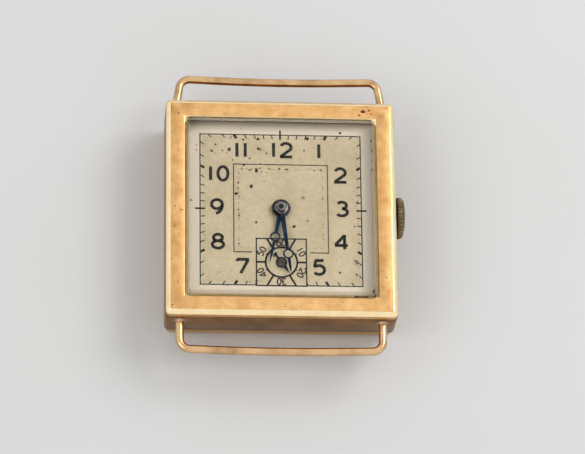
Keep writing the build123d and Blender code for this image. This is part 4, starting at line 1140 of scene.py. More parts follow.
def tick_tree() -> bpy.types.NodeTree:
    """Makes a tree that sets the minutes' ticks along a square, each pointing at the middle.

    The input Fives is 1 for the five-minute ticks and 0 for the others; the quarters have no tick.

    Returns:
        The geometry node tree.
    """
    sockets = [
        ("Half", "NodeSocketFloat"),
        ("Width", "NodeSocketFloat"),
        ("Length", "NodeSocketFloat"),
        ("Thickness", "NodeSocketFloat"),
        ("Level", "NodeSocketFloat"),
        ("Gap half", "NodeSocketFloat"),
        ("Fives", "NodeSocketInt"),
        ("Material", "NodeSocketMaterial"),
    ]
    tree, source, target = geometry_tree("minute_ticks", sockets)
    take = source.outputs
    points = tree.add("GeometryNodePoints", values={"Count": MINUTES})
    index = tree.add("GeometryNodeInputIndex").outputs[0]
    angle = tree.times(index, 2 * math.pi / MINUTES)
    across, up = tree.math("SINE", angle), tree.math("COSINE", angle)
    largest = tree.math("MAXIMUM", tree.math("ABSOLUTE", across), tree.math("ABSOLUTE", up))
    reach = tree.math("DIVIDE", take["Half"], largest)
    x, y = tree.times(across, reach), tree.times(up, reach)
    place = tree.add("ShaderNodeCombineXYZ", {"X": x, "Y": y, "Z": take["Level"]})
    inputs = {"Geometry": points.outputs[0], "Position": place.outputs[0]}
    placed = tree.add("GeometryNodeSetPosition", inputs)
    five = tree.math("LESS_THAN", tree.math("MODULO", index, 5.0), 0.5)
    quarter = tree.math("LESS_THAN", tree.math("MODULO", index, 15.0), 0.5)
    fives = tree.times(tree.math("SUBTRACT", five, quarter), take["Fives"])
    ones = tree.times(tree.math("SUBTRACT", 1.0, five), tree.math("SUBTRACT", 1.0, take["Fives"]))
    below = tree.math("LESS_THAN", y, 0.0)
    in_gap = tree.math("LESS_THAN", tree.math("ABSOLUTE", x), take["Gap half"])
    chosen = tree.math("SUBTRACT", tree.math("ADD", fives, ones), tree.times(below, in_gap))
    chosen = tree.math("GREATER_THAN", chosen, 0.5)
    size = tree.add("ShaderNodeCombineXYZ", {"X": take["Width"], "Y": take["Length"], "Z": take["Thickness"]})
    bar = tree.add("GeometryNodeMeshCube", {"Size": size.outputs[0]})
    back = tree.add("ShaderNodeCombineXYZ", {"Y": tree.times(take["Length"], -0.5)})
    bar = tree.add("GeometryNodeTransform", {"Geometry": bar.outputs[0], "Translation": back.outputs[0]})
    turn = tree.add("ShaderNodeCombineXYZ", {"Z": tree.times(angle, -1.0)})
    inputs = {
        "Points": placed.outputs[0],
        "Selection": chosen,
        "Instance": bar.outputs[0],
        "Rotation": turn.outputs[0],
    }
    copies = tree.add("GeometryNodeInstanceOnPoints", inputs)
    end_tree(tree, copies.outputs[0], source, target)
    return tree.tree


# Pieces


@dataclass
class Bezel:
    """The square gold frame, with a soft outer chamfer and an inner bevel, whose slopes get a painted
    highlight of paler gold.

    A stain's place is its X, its Y and its size. A place of the dirt is how far it lies from the inner
    corner at the lower right, to the left and down.
    """

    half: float = 12.7
    corner: float = 0.55
    low: float = 6.9
    front: float = 8.0
    rim: float = 2.4
    seat: float = 0.45
    lip: float = 0.5
    skirt_out: float = 1.13
    skirt_in: float = 1.53
    skirt_low: float = 6.2
    highlight_depth: float = 0.7
    highlight_slopes: Point = (0.3, 0.95)
    stain_seed: int = 3
    stain_depth: float = 0.012
    stain_places: tuple[Place, ...] = (
        (9.2, 11.5, 0.3),
        (8.75, 11.05, 0.17),
        (9.85, 11.65, 0.15),
        (10.1, 11.2, 0.12),
        (8.2, 11.75, 0.07),
        (-12.02, -11.75, 0.12),
        (11.2, 4.1, 0.06),
        (-11.3, 6.4, 0.07),
        (6.6, -11.2, 0.08),
        (-2.1, -11.5, 0.06),
        (11.4, -8.2, 0.09),
    )
    stain_flatness: float = 0.6
    dirt_places: tuple[Point, ...] = ((2.4, 0.13), (1.9, 0.2), (1.3, 0.19), (0.9, 0.11))
    dirt_level: float = 0.2
    dirt_depth: float = 0.12
    dirt_width: float = 0.17

    def profile(self) -> list[Point]:
        """Gives the section of the frame.

        Returns:
            Pairs of distance from the outer face and level, as one closed outline.
        """
        front, rim, low = self.front, self.rim, self.low
        outer = [(0.04, low + 0.01), (0.0, low + 0.07), (0.0, front - 0.52), (0.02, front - 0.45)]
        drops = ((0.08, 0.37), (0.28, 0.18), (0.42, 0.07), (0.52, 0.02), (0.62, 0.0))
        chamfer = [(inwards, front - drop) for inwards, drop in drops]
        flat = [(1.25, front + 0.008), (rim - 0.42, front)]
        drops = ((0.35, 0.02), (0.22, 0.11), (0.09, 0.26), (0.02, 0.35))
        bevel = [(rim - back, front - drop) for back, drop in drops]
        inner = [(rim, front - 0.42), (rim, front - self.lip + 0.03), (rim - 0.03, front - self.lip)]
        seat = [(rim - self.seat, front - self.lip), (rim - self.seat, low), (self.skirt_in, low)]
        skirt = [(self.skirt_in, self.skirt_low), (self.skirt_out, self.skirt_low), (self.skirt_out, low)]
        return outer + chamfer + flat + bevel + inner + seat + skirt

    def highlight_faces(self, centre: Vector, normal: Vector) -> bool:
        """Tells whether a face belongs to the slopes that get the paler gold of a painted highlight."""
        least, most = self.highlight_slopes
        return centre.z > self.front - self.highlight_depth and least < normal.z < most

    def build(self) -> None:
        """Builds the frame and dresses it."""
        loops = [rounded_square(self.half - d, max(self.corner - d, 0.05), z) for d, z in self.profile()]
        obj = tidy(make_object("bezel_frame", *loft(loops, closed=True)), 24)
        settle(obj, GOLD, "case", "gold", "bezel")
        # Painted highlight: the slopes get the paler gold.
        second_finish(obj, HIGHLIGHT_GOLD, self.highlight_faces)
        self.stains()

    def stains(self) -> None:
        """Adds the small brown stains and the dirt in the gap at the lower right."""
        chance = Random(self.stain_seed)
        marks = Print(self.front, self.stain_depth)
        for x, y, size in self.stain_places:
            marks.blot((x, y), (size, size * self.stain_flatness), chance)
        marks.build("bezel_stains", STAIN_INK, "gold")
        inner = self.half - self.rim
        dirt = Print(self.front - self.dirt_level, self.dirt_depth)
        dirt.line([(inner - left, -inner - down) for left, down in self.dirt_places], self.dirt_width)
        dirt.build("crystal_gap_dirt", STAIN_INK, "gold")


@dataclass
class CaseBody:
    """The band and the snap back."""

    edge: float = 0.05

    def build(self) -> None:
        """Rounds the edges of the solids and dresses them."""
        # The band gets the darkened gold of a painted shade.
        settle(soften("case_band", self.edge), SHADED_BAND_GOLD, "case", "gold", "case_band")
        settle(soften("case_back", self.edge), BACK_GOLD, "case", "gold", "case_back")


@dataclass
class WireLug:
    """A bent wire with grey solder at its roots."""

    name: str
    span: float
    reach: float
    lean: float
    bow: float
    side: int
    root: float = 12.7
    level: float = 5.8
    radius: float = 0.45
    bend: float = 1.15
    mound: float = 0.2
    mound_stretch: float = 1.3
    mound_steps: int = 5
    sink: float = 0.05
    bend_share: float = 0.6
    half_steps: int = 5
    bend_steps: int = 10
    sides: int = 28
    mound_sides: int = 40

    def bar(self) -> list[Point]:
        """Gives the bar's middle line, straight at its ends and bowed between them.

        Returns:
            Points from left to right.
        """
        half = self.span / 2 - self.lean
        points = []
        for step in range(-self.half_steps, self.half_steps + 1):
            share = abs(step) / self.half_steps
            rise = 1 - share
            if share < self.bend_share:
                rise = 1 - (share**2 + self.bend_share**2) / (2 * self.bend_share)
            out = self.root + self.reach + self.bow * rise
            points.append((half * step / self.half_steps, self.side * out))
        return points

    def build(self, tree: bpy.types.NodeTree) -> None:
        """Builds the wire and its solder.

        Args:
            tree: The wire's geometry tree.
        """
        half = self.span / 2
        root = self.side * (self.root - self.sink)
        points = [(x, y, self.level) for x, y in [(-half, root), *self.bar(), (half, root)]]
        obj = make_object(self.name + "_wire", [], [])
        bm = bmesh.new()
        chain = [bm.verts.new([c * MM for c in point]) for point in points]
        for first, second in zip(chain, chain[1:]):
            bm.edges.new((first, second))
        bm.to_mesh(obj.data)
        bm.free()
        values = {
            "Wire radius": self.radius * MM,
            "Bend radius": self.bend * MM,
            "Bend steps": self.bend_steps,
            "Sides": self.sides,
            "Material": workshop.material(WIRE_GOLD),
        }
        run_tree(obj, tree, values)
        settle(tidy(obj, 40), WIRE_GOLD, "case", "gold", self.name)
        self.solder("left", -half)
        self.solder("right", half)

    def solder(self, side: str, x: float) -> None:
        """Builds the solder round one root.

        Args:
            side: Which root it is, left or right.
            x: The root's place along X.
        """
        root = self.side * self.root
        low, foot, high = 0.02, 0.2, 0.2
        profile = [(root - self.side * low, foot), (root - self.side * low, self.radius + self.mound)]
        for step in range(self.mound_steps + 1):
            turn = math.pi / 2 * step / self.mound_steps
            out = self.mound * (1 - math.sin(turn))
            rise = self.mound * (1 - math.cos(turn)) * self.mound_stretch
            profile.append((root + self.side * (low + rise), self.radius + out + 0.01))
        profile.append((root + self.side * high, foot))
        name = f"{self.name}_solder_{side}"
        settle(lathe(name, profile, (x, 0.0, self.level), Axis.Y, self.mound_sides), SOLDER, "case", "gold")


@dataclass
class Crown:
    """The fluted, domed crown on its stem.

    Its outline is given by pairs of depth below the crown's end and drop below its radius.
    """

    low: float = 12.9
    high: float = 13.9
    radius: float = 2.3
    rib_high: float = 0.14
    rib_half: float = 0.16
    rib_deep: float = 0.24
    rib_sink: float = 0.2
    rib_steps: int = 6
    bore: float = 1.15
    bore_depth: float = 0.55
    stem: float = 0.45
    level: float = 4.9
    flutes: int = 30
    sides: int = 96
    dome: tuple[Point, ...] = ((0.075, 0.8), (0.03, 1.3))
    eye: float = 0.4
    axis_radius: float = 0.01
    web: float = 0.3
    drops: tuple[Point, ...] = (
        (0.97, 0.1),
        (0.9, 0.0),
        (0.6, 0.0),
        (0.48, 0.03),
        (0.36, 0.1),
        (0.26, 0.21),
        (0.18, 0.36),
        (0.12, 0.55),
    )

    def core(self) -> MeshObject:
        """Turns the crown without its flutes, bored out from below.

        Returns:
            The core.
        """
        low, high, radius = self.low, self.high, self.radius - self.rib_high
        profile = [(low + 0.02, self.bore), (low, self.bore + 0.05), (low, radius - 0.2)]
        profile += [(high - depth, radius - drop) for depth, drop in self.drops]
        profile += [(high - depth, radius - drop) for depth, drop in self.dome]
        profile += [(high, self.eye), (high, self.axis_radius), (high - self.web, self.axis_radius)]
        floor = low + self.bore_depth
        profile += [(high - self.web, self.stem), (floor, self.stem), (floor, self.bore)]
        return lathe("crown_core", profile, (0.0, 0.0, self.level), Axis.X, self.sides)

    def rib(self) -> MeshObject:
        """Lofts one flute along the crown's edge.

        Returns:
            The flute, on the X axis.
        """
        loops = []
        for depth, drop in self.drops[:-1]:
            x, top = self.high - depth - 0.005, self.radius - drop
            half = self.rib_half * top / self.radius
            base = top - self.rib_deep
            loop = [(x, base - self.rib_sink, -half), (x, base - self.rib_sink, half)]
            for step in range(self.rib_steps + 1):
                turn = math.pi * step / self.rib_steps
                loop.append((x, base + self.rib_deep * math.sin(turn), half * math.cos(turn)))
            loops.append(loop)
        return tidy(make_object("crown_flutes", *loft(loops, closed=False)), 50)

    def build(self) -> None:
        """Builds the core and its flutes."""
        # The crown and its flutes get the darkened gold of a painted shade.
        settle(self.core(), SHADED_CROWN_GOLD, "stem", "gold", "crown")
        values = {"Count": self.flutes, "Material": workshop.material(SHADED_CROWN_GOLD)}
        flutes = run_tree(self.rib(), flute_tree(), values)
        flutes.data.transform(Matrix.Translation((0.0, 0.0, self.level * MM)))
        settle(flutes, SHADED_CROWN_GOLD, "stem", "gold")


@dataclass
class Crystal:
    """The square crystal with a bevelled edge and a slight dome."""

    half: float = 10.24
    plate_half: float = 10.68
    corner: float = 0.7
    top: float = 8.9
    dome: float = 0.3
    bevel: float = 0.34
    foot: float = 6.88
    lip_level: float = 7.46
    wall: float = 0.35
    plate: float = 0.78
    corner_steps: int = 8
    side_steps: int = 12
    top_shares: tuple[float, ...] = (0.96, 0.9, 0.8, 0.68, 0.54, 0.4, 0.26, 0.12)
    hollow_shares: tuple[float, ...] = (0.92, 0.82, 0.7, 0.56, 0.42, 0.28, 0.14)
    edge_drop: float = 0.1
    edge_slope: float = 0.8

    def loop(self, half: float, radius: float, z: float) -> Loop:
        """Returns a rounded square of the crystal."""
        return rounded_square(half, radius, z, self.corner_steps, self.side_steps)

    def outside(self) -> list[Loop]:
        """Gives the loops from the foot's inner edge up to the middle of the dome.

        Returns:
            The loops in order.
        """
        shoulder = self.top - self.dome
        edge = self.half - self.bevel
        sections = [
            (self.plate_half - self.wall, 0.5, self.foot),
            (self.plate_half - 0.02, 0.6, self.foot),
            (self.plate_half, 0.62, self.foot + 0.03),
            (self.plate_half, 0.62, self.lip_level - 0.03),
            (self.plate_half - 0.03, 0.6, self.lip_level),
            (self.half + 0.02, 0.35, self.lip_level),
            (self.half, self.corner * 0.5, self.lip_level + 0.03),
            (self.half, self.corner * 0.5, shoulder - self.bevel * 0.9),
            (self.half - self.bevel * 0.12, self.corner * 0.6, shoulder - self.bevel * 0.5),
            (self.half - self.bevel * 0.5, self.corner, shoulder - self.bevel * 0.16),
            (edge, self.corner, shoulder),
        ]
        for share in self.top_shares:
            level = shoulder + self.dome * (1 - share**2)
            sections.append((edge * share, self.corner * 1.5 * share, level))
        return [self.loop(*section) for section in sections]

    def inside(self) -> list[Loop]:
        """Gives the loops from the foot up to the middle of the hollow.

        Returns:
            The loops in order.
        """
        inner = self.plate_half - self.wall
        low = self.top - self.dome - self.plate
        sections = [(inner, 0.5, low - 0.1), (inner - 0.1, 0.45, low)]
        for share in self.hollow_shares:
            sections.append((inner * share, self.corner * share, low + self.dome * (1 - share**2)))
        return [self.loop(*section) for section in sections]

    def shell(self) -> tuple[Loop, list[list[int]]]:
        """Joins the outside and the inside along the foot's inner edge.

        Returns:
            The points and the faces of one closed shell.
        """
        outside, inside = self.outside(), self.inside()
        points, faces = loft(outside, closed=False)
        faces.pop(-2)
        start = len(points)
        count = len(outside[0])
        points += [point for loop in inside for point in loop]
        rows = [0] + [start + count * row for row in range(len(inside))]
        for first, second in zip(rows, rows[1:]):
            for step in range(count):
                after = (step + 1) % count
                faces.append([first + after, first + step, second + step, second + after])
        faces.append([rows[-1] + step for step in range(count)])
        return points, faces

    def milky(self, centre: Vector, normal: Vector) -> bool:
        """Tells whether a face belongs to the worn edge that stands above the bezel."""
        outer = max(abs(centre.x), abs(centre.y)) > self.half - self.bevel
        return outer and centre.z > self.lip_level - self.edge_drop and normal.z < self.edge_slope

    def build(self) -> None:
        """Builds the crystal as one closed shell and dresses it."""
        obj = tidy(make_object("crystal_glass", *self.shell()), 30)
        settle(obj, CRYSTAL, "case", "glass", "crystal")
        second_finish(obj, CRYSTAL_EDGE, self.milky)


def arc(centre: Point, radii: Point, start: float, end: float, steps: int) -> list[Point]:
    """Gives points along an elliptical arc.

    Args:
        centre: Its centre.
        radii: Its two radii.
        start: The first angle, in degrees.
        end: The last angle, in degrees.
        steps: Parts of the arc.

    Returns:
        The points in order.
    """
    angles = [math.radians(start + (end - start) * step / steps) for step in range(steps + 1)]
    return [(centre[0] + radii[0] * math.cos(a), centre[1] + radii[1] * math.sin(a)) for a in angles]


def digit_strokes(digit: str) -> list[list[Point]]:
    """Gives the centre lines of a plain rounded digit of height 1.

    Args:
        digit: One digit.

    Returns:
        Open or closed lines; a closed one ends on its first point.
    """
    three = arc((-0.02, 0.755), (0.31, 0.245), 150, -90, 18)
    five = arc((-0.02, 0.32), (0.37, 0.32), 142, -145, 22)
    strokes = {
        "0": [arc((0, 0.5), (0.34, 0.5), 90, 450, 32)],
        "1": [[(0, 0), (0, 1)]],
        "2": [arc((0, 0.69), (0.35, 0.31), 160, -28, 18) + [(-0.37, 0.02)], [(-0.42, 0), (0.42, 0)]],
        "3": [three, arc((-0.02, 0.265), (0.37, 0.265), 90, -150, 20)],
        "4": [[(0.2, 1), (-0.43, 0.3)], [(-0.46, 0.27), (0.42, 0.27)], [(0.2, 1.04), (0.2, 0)]],
        "5": [[(-0.27, 1), (0.3, 1)], [(-0.24, 1), (-0.31, 0.5)], five],
        "7": [[(-0.4, 1), (0.42, 1)], [(-0.37, 1), (-0.37, 0.86)], [(0.38, 1), (-0.14, 0)]],
        "8": [arc((0, 0.765), (0.3, 0.235), 90, 450, 26), arc((0, 0.265), (0.38, 0.265), 90, 450, 28)],
        "9": [arc((0, 0.67), (0.36, 0.33), 90, 450, 28), arc((-0.14, 0.62), (0.5, 0.62), 0, -82, 14)],
    }
    strokes["6"] = [[(-x, 1 - y) for x, y in stroke] for stroke in strokes["9"]]
    return strokes[digit]


@dataclass(frozen=True)
class Lettering:
    """The size of some numbers: height, stroke width, pitch, and digit width against the usual one."""

    height: float
    width: float
    pitch: float
    stretch: float = 1.0


class Print:
    """Collects printed lines and turns them into one thin raised piece."""

    sink: ClassVar[float] = 0.004
    miter_limit: ClassVar[float] = 0.4
    blot_points: ClassVar[int] = 7
    blot_shift: ClassVar[float] = 0.03

    def __init__(self, level: float, thickness: float) -> None:
        """Starts an empty print.

        Args:
            level: The level of the surface below the ink.
            thickness: How far the ink stands above it.
        """
        self.low = level - self.sink
        self.high = level + thickness
        self.points: Loop = []
        self.faces: list[list[int]] = []

    def line(self, path: Sequence[Point], width: float) -> None:
        """Adds a line of even width.

        Args:
            path: Its centre line; the line is closed if it ends on its first point.
            width: Its width.
        """
        closed = len(path) > 3 and math.dist(path[0], path[-1]) < 1e-6
        spots = list(path[:-1] if closed else path)
        count = len(spots)
        start = len(self.points)
        for index, spot in enumerate(spots):
            before = spots[index - 1] if closed or index else None
            after = spots[(index + 1) % count] if closed or index + 1 < count else None
            ways = [Vector(b) - Vector(a) for a, b in ((before, spot), (spot, after)) if a and b]
            ways = [way.normalized() for way in ways]
            mean = (ways[0] + ways[-1]).normalized()
            normal = Vector((-mean.y, mean.x)) / max(mean.dot(ways[0]), self.miter_limit)
            for side, z in ((1, self.low), (-1, self.low), (-1, self.high), (1, self.high)):
                place = Vector(spot) + normal * side * width / 2
                self.points.append((place.x, place.y, z))
        for index in range(count if closed else count - 1):
            low = start + 4 * index
            high = start + 4 * ((index + 1) % count)
            for corner in range(4):
                after = (corner + 1) % 4
                self.faces.append([low + corner, low + after, high + after, high + corner])
        if not closed:
            self.faces.append([start + 3, start + 2, start + 1, start])
            end = start + 4 * (count - 1)
            self.faces.append([end, end + 1, end + 2, end + 3])

    def blot(self, centre: Point, radii: Point, chance: Random) -> None:
        """Adds a small filled blot with an uneven edge.

        Args:
            centre: Its centre.
            radii: Its two radii.
            chance: What shifts the outline's points.
        """
        outline = arc(centre, radii, 0, 315, self.blot_points)
        start = len(self.points)
        count = len(outline)
        shifts = [chance.uniform(-self.blot_shift, self.blot_shift) for _ in range(2 * count)]
        for z in (self.low, self.high):
            self.points += [(x + shifts[i], y + shifts[i + count], z) for i, (x, y) in enumerate(outline)]
        for step in range(count):
            after = (step + 1) % count
            self.faces.append([start + step, start + after, start + count + after, start + count + step])
        self.faces.append([start + count + step for step in range(count)])
        self.faces.append([start + step for step in range(count)][::-1])

    def number(self, text: str, centre: Point, size: Lettering, turn: float = 0.0) -> None:
        """Adds a number.

        Args:
            text: Its digits.
            centre: Its centre.
            size: The size of its digits.
            turn: Degrees anticlockwise.
        """
        tall = size.height - size.width
        cosine, sine = math.cos(math.radians(turn)), math.sin(math.radians(turn))
        for index, digit in enumerate(text):
            shift = (index - (len(text) - 1) / 2) * size.pitch
            for stroke in digit_strokes(digit):
                flat = [(x * tall * size.stretch + shift, (y - 0.5) * tall) for x, y in stroke]
                path = [(x * cosine - y * sine, x * sine + y * cosine) for x, y in flat]
                self.line([(centre[0] + x, centre[1] + y) for x, y in path], size.width)

    def build(self, name: str, finish: InkFinish, slot: str = "dial") -> None:
        """Makes the piece.

        Args:
            name: Its name.
            finish: Its ink.
            slot: The record's material slot.
        """
        settle(tidy(make_object(name, self.points, self.faces), 30), finish, "case", slot)


@dataclass(frozen=True)
class Hour:
    """An hour's number on the dial: its text, its centre and its lettering's pitch."""

    text: str
    centre: Point
    pitch: float = 0.0


HOURS = (
    Hour("12", (-0.05, 7.12), 1.38),
    Hour("11", (-4.35, 7.05), 0.92),
    Hour("1", (4.3, 7.05)),
    Hour("10", (-7.05, 4.2), 1.36),
    Hour("2", (6.62, 4.2)),
    Hour("9", (-7.05, 0.25)),
    Hour("3", (6.78, 0.2)),
    Hour("8", (-6.95, -3.85)),
    Hour("4", (6.65, -3.75)),
    Hour("7", (-4.25, -6.75)),
    Hour("5", (4.15, -6.75)),
)


@dataclass(frozen=True)
class Spread:
    """Where small spots gather: a centre and how far they scatter from it along X and along Y."""

    centre: Point
    reach: Point


@dataclass
class Dial:
    """The printed dial: track, numbers, inner frame, small seconds and age spots.

    A place of the edge's dirt is its X, its Y and its size.
    """

    level: float = 6.85
    ink: float = 0.012
    track_half: float = 8.9
    track_width: float = 0.135
    frame_half: float = 5.2
    frame_width: float = 0.125
    frame_y: float = 0.15
    frame_gap: float = 0.45
    faint_inset: float = 0.55
    faint_gap: float = 0.7
    faint_width: float = 0.05
    dash_pitch: float = 0.62
    number_height: float = 1.98
    number_width: float = 0.35
    bar_half: float = 0.56
    bar_width: float = 0.2
    minute_tick: Point = (0.115, 0.52)
    five_tick: Point = (0.29, 0.56)

    seconds_y: float = -6.2
    seconds_half: float = 2.75
    seconds_width: float = 0.15
    ring_radius: float = 1.74
    ring_width: float = 0.22
    ring_steps: int = 72
    spoke_width: float = 0.13
    tens_reaches: tuple[float, ...] = (2.26, 2.5, 2.5)
    tens_size: Lettering = Lettering(0.86, 0.14, 0.56, 0.8)

    spot_seed: int = 7
    spot_count: int = 95
    spot_size: float = 0.195
    spot_sizes: tuple[float, ...] = (0.35, 0.5, 0.6, 0.8, 1.0)
    spot_flatness: Point = (0.6, 1.2)
    frame_spot_share: float = 0.6
    upper_spots: Spread = Spread((-3.6, 6.9), (3.2, 1.6))
    side_scatter: float = 0.05
    top_scatter: float = 0.08
    loose_x: Point = (-9.6, 9.6)
    loose_y: Point = (-8.4, 9.4)
    spot_limits: Point = (9.9, 9.7)
    number_clearance: float = 1.25
    edge_dirt: tuple[Place, ...] = (
        (-10.12, 8.9, 0.09),
        (-10.08, 7.6, 0.13),
        (-10.1, -1.3, 0.07),
        (-10.06, -2.6, 0.12),
        (-10.1, -4.1, 0.09),
        (-10.05, -5.2, 0.07),
        (-10.02, -8.6, 0.13),
        (10.1, 8.4, 0.08),
        (10.14, 7.2, 0.14),
        (10.12, 6.1, 0.1),
        (10.1, 4.9, 0.08),
        (10.05, -9.4, 0.15),
    )
    dirt_shape: Point = (0.6, 1.9)

    def square(self, half: float, centre_y: float) -> list[Point]:
        """Returns a closed square line."""
        low, high = centre_y - half, centre_y + half
        return [(-half, low), (half, low), (half, high), (-half, high), (-half, low)]

    def open_square(self, half: float, centre_y: float, gap: float) -> list[Point]:
        """Returns a square line that is open at the bottom by twice a gap."""
        low, high = centre_y - half, centre_y + half
        return [(-gap, low), (-half, low), (-half, high), (half, high), (half, low), (gap, low)]

    def numbers(self) -> Print:
        """Prints the hours and the bars at the quarters.

        Returns:
            The print.
        """
        ink = Print(self.level, self.ink)
        for hour in HOURS:
            ink.number(hour.text, hour.centre, Lettering(self.number_height, self.number_width, hour.pitch))
        half, bar = self.track_half, self.bar_half
        ink.line([(0, half - bar), (0, half + bar)], self.bar_width)
        ink.line([(half - bar, 0), (half + bar, 0)], self.bar_width)
        ink.line([(-half - bar, 0), (-half + bar, 0)], self.bar_width)
        return ink

    def lines(self) -> Print:
        """Prints the track and the inner frame.

        Returns:
            The print.
        """
        ink = Print(self.level, self.ink - 0.003)
        ink.line(self.open_square(self.track_half, 0.0, self.seconds_half), self.track_width)
        gap = self.seconds_half + self.frame_gap
        ink.line(self.open_square(self.frame_half, self.frame_y, gap), self.frame_width)
        return ink

    def small_seconds(self) -> Print:
        """Prints the small seconds: its square, ring, spokes and numbers.

        Returns:
            The print.
        """
        ink = Print(self.level, self.ink - 0.002)
        ink.line(self.square(self.seconds_half, self.seconds_y), self.seconds_width)
        low = self.ring_radius
        ink.line(arc((0.0, self.seconds_y), (low, low), 90, 450, self.ring_steps), self.ring_width)
        for index in range(12):
            angle = math.radians(30 * index)
            across, up = math.sin(angle), math.cos(angle)
            reach, width = low + self.ring_width, self.spoke_width
            if index % 2:
                reach, width = self.seconds_half / max(abs(across), abs(up)), self.ring_width
            ink.line([(across * r, self.seconds_y + up * r) for r in (low, reach)], width)
        for index, text in enumerate(("60", "10", "20", "30", "40", "50")):
            angle = math.radians(60 * index)
            reach = self.tens_reaches[index % 3]
            place = (reach * math.sin(angle), self.seconds_y + reach * math.cos(angle))
            ink.number(text, place, self.tens_size, -60 * index)
        return ink

    def faint(self) -> Print:
        """Prints the faint, broken second line of the inner frame.

        Returns:
            The print.
        """
        ink = Print(self.level, self.ink - 0.006)
        half, gap = self.frame_half - self.faint_inset, self.seconds_half + self.faint_gap
        corners = self.open_square(half, self.frame_y, gap)
        for start, end in zip(corners, corners[1:]):
            count = max(1, round(math.dist(start, end) / self.dash_pitch))
            way = (end[0] - start[0], end[1] - start[1])
            for step in range(count):
                shares = [(step + part) / count for part in (0.08, 0.52 + 0.3 * math.sin(step * 2.7))]
                ends = [(start[0] + way[0] * share, start[1] + way[1] * share) for share in shares]
                ink.line(ends, self.faint_width)
        return ink

    def spot_place(self, kind: int, chance: Random) -> Point:
        """Picks a spot's place.

        Args:
            kind: 0 and 1 for the upper part, 2 for the frame's sides, 3 for its top, 4 for anywhere.
            chance: What picks it.

        Returns:
            The place.
        """
        edge = self.frame_half - self.faint_inset
        if kind < 2:
            (x, y), (wide, high) = self.upper_spots.centre, self.upper_spots.reach
            return chance.gauss(x, wide), chance.gauss(y, high)
        if kind == 2:
            x = chance.choice((-1, 1)) * (edge + chance.gauss(0, self.side_scatter))
            return x, self.frame_y + chance.uniform(-edge, edge)
        if kind == 3:
            x = chance.uniform(-edge, edge)
            return x, self.frame_y + edge + chance.gauss(0, self.top_scatter)
        return chance.uniform(*self.loose_x), chance.uniform(*self.loose_y)

    def spots(self) -> Print:
        """Scatters small dark age spots by a fixed rule and dirties the dial's edge.

        Returns:
            The print.
        """
        ink = Print(self.level, self.ink - 0.005)
        chance = Random(self.spot_seed)
        for index in range(self.spot_count):
            kind = index % 5
            centre = self.spot_place(kind, chance)
            near = min(math.dist(centre, hour.centre) for hour in HOURS)
            outside = abs(centre[0]) > self.spot_limits[0] or abs(centre[1]) > self.spot_limits[1]
            if outside or near < self.number_clearance:
                continue
            share = self.frame_spot_share if kind in (2, 3) else 1.0
            size = self.spot_size * chance.choice(self.spot_sizes) * share
            ink.blot(centre, (size, size * chance.uniform(*self.spot_flatness)), chance)
        wide, high = self.dirt_shape
        for x, y, size in self.edge_dirt:
            ink.blot((x, y), (size * wide, size * high), chance)
        return ink

    def ticks(self, name: str, size: Point, fives: int) -> None:
        """Builds ticks along the track.

        Args:
            name: The piece's name.
            size: A tick's width and length.
            fives: 1 for the five-minute ticks and 0 for the others.
        """
        obj = make_object(name, [(0.0, 0.0, 0.0)], [])
        values = {
            "Half": self.track_half * MM,
            "Width": size[0] * MM,
            "Length": size[1] * MM,
            "Thickness": self.ink * MM,
            "Level": (self.level + self.ink / 2 - Print.sink) * MM,
            "Gap half": self.seconds_half * MM,
            "Fives": fives,
            "Material": workshop.material(INK),
        }
        run_tree(obj, tick_tree(), values)
        settle(tidy(obj, 30), INK, "case", "dial")

    def build(self) -> None:
        """Builds the whole print and dresses the dial."""
        workshop.dress(frame["nodes"]["dial"], LACQUER)
        self.numbers().build("dial_numbers", INK)
        self.lines().build("dial_lines", LINE_INK)
        self.small_seconds().build("small_seconds", INK)
        self.faint().build("dial_faint_line", PALE_INK)
        self.spots().build("dial_spots", SPOT_INK)
        self.ticks("minute_ticks", self.minute_tick, 0)
        self.ticks("five_minute_ticks", self.five_tick, 1)


@dataclass
class Hands:
    """The blued hands and the steel pipe that carries them."""

    edge: float = 0.035
    seconds_edge: float = 0.021
    eye: float = 0.29
    eye_deep: float = 0.2
    eye_sides: int = 32
    pipe_high: float = 7.79
    boss: float = 0.47
    boss_low: float = 7.03
    boss_sides: int = 36
    seconds_y: float = -6.25
    axis_radius: float = 0.01

    def hole_shade_profile(self) -> list[Point]:
        """Gives the section of the black disc, a painted shade for the hole at the pipe's end: pairs of level
        and radius.
        """
        low, high, axis = self.pipe_high - self.eye_deep, self.pipe_high + 0.018, self.axis_radius
        return [(low, axis), (low, self.eye), (high - 0.006, self.eye), (high, self.eye * 0.8), (high, axis)]

    def boss_profile(self) -> list[Point]:
        """Gives the section of the seconds hand's low cap.

        Returns:
            Pairs of level and radius.
        """
        low, boss = self.boss_low, self.boss
        crown = [(low + 0.02, boss), (low + 0.05, boss * 0.8), (low + 0.07, boss * 0.4)]
        return [(low, self.axis_radius), (low, boss), *crown, (low + 0.075, self.axis_radius)]

    def build(self) -> None:
        """Rounds the hands' edges and dresses them."""
        settle(soften("hour_hand", self.edge), HOUR_STEEL, "hour", "blued_steel", "hour_hand")
        settle(soften("minute_hand", self.edge), MINUTE_STEEL, "minute", "blued_steel", "minute_hand")
        seconds = soften("seconds_hand", self.seconds_edge)
        settle(seconds, SECONDS_STEEL, "seconds", "blued_steel", "seconds_hand")
        # Painted shade: a black disc stands for the dark hole in the middle of the hands.
        eye = lathe("hole_shade_disc", self.hole_shade_profile(), (0.0, 0.0, 0.0), Axis.Z, self.eye_sides)
        settle(eye, HOLE_SHADE_BLACK, "centre", "steel")
        settle(soften("cannon_pinion", self.edge), PIPE_STEEL, "minute", "steel", "cannon_pinion")
        foot = (0.0, self.seconds_y, 0.0)
        boss = lathe("seconds_boss", self.boss_profile(), foot, Axis.Z, self.boss_sides)
        settle(boss, BOSS, "seconds", "blued_steel")


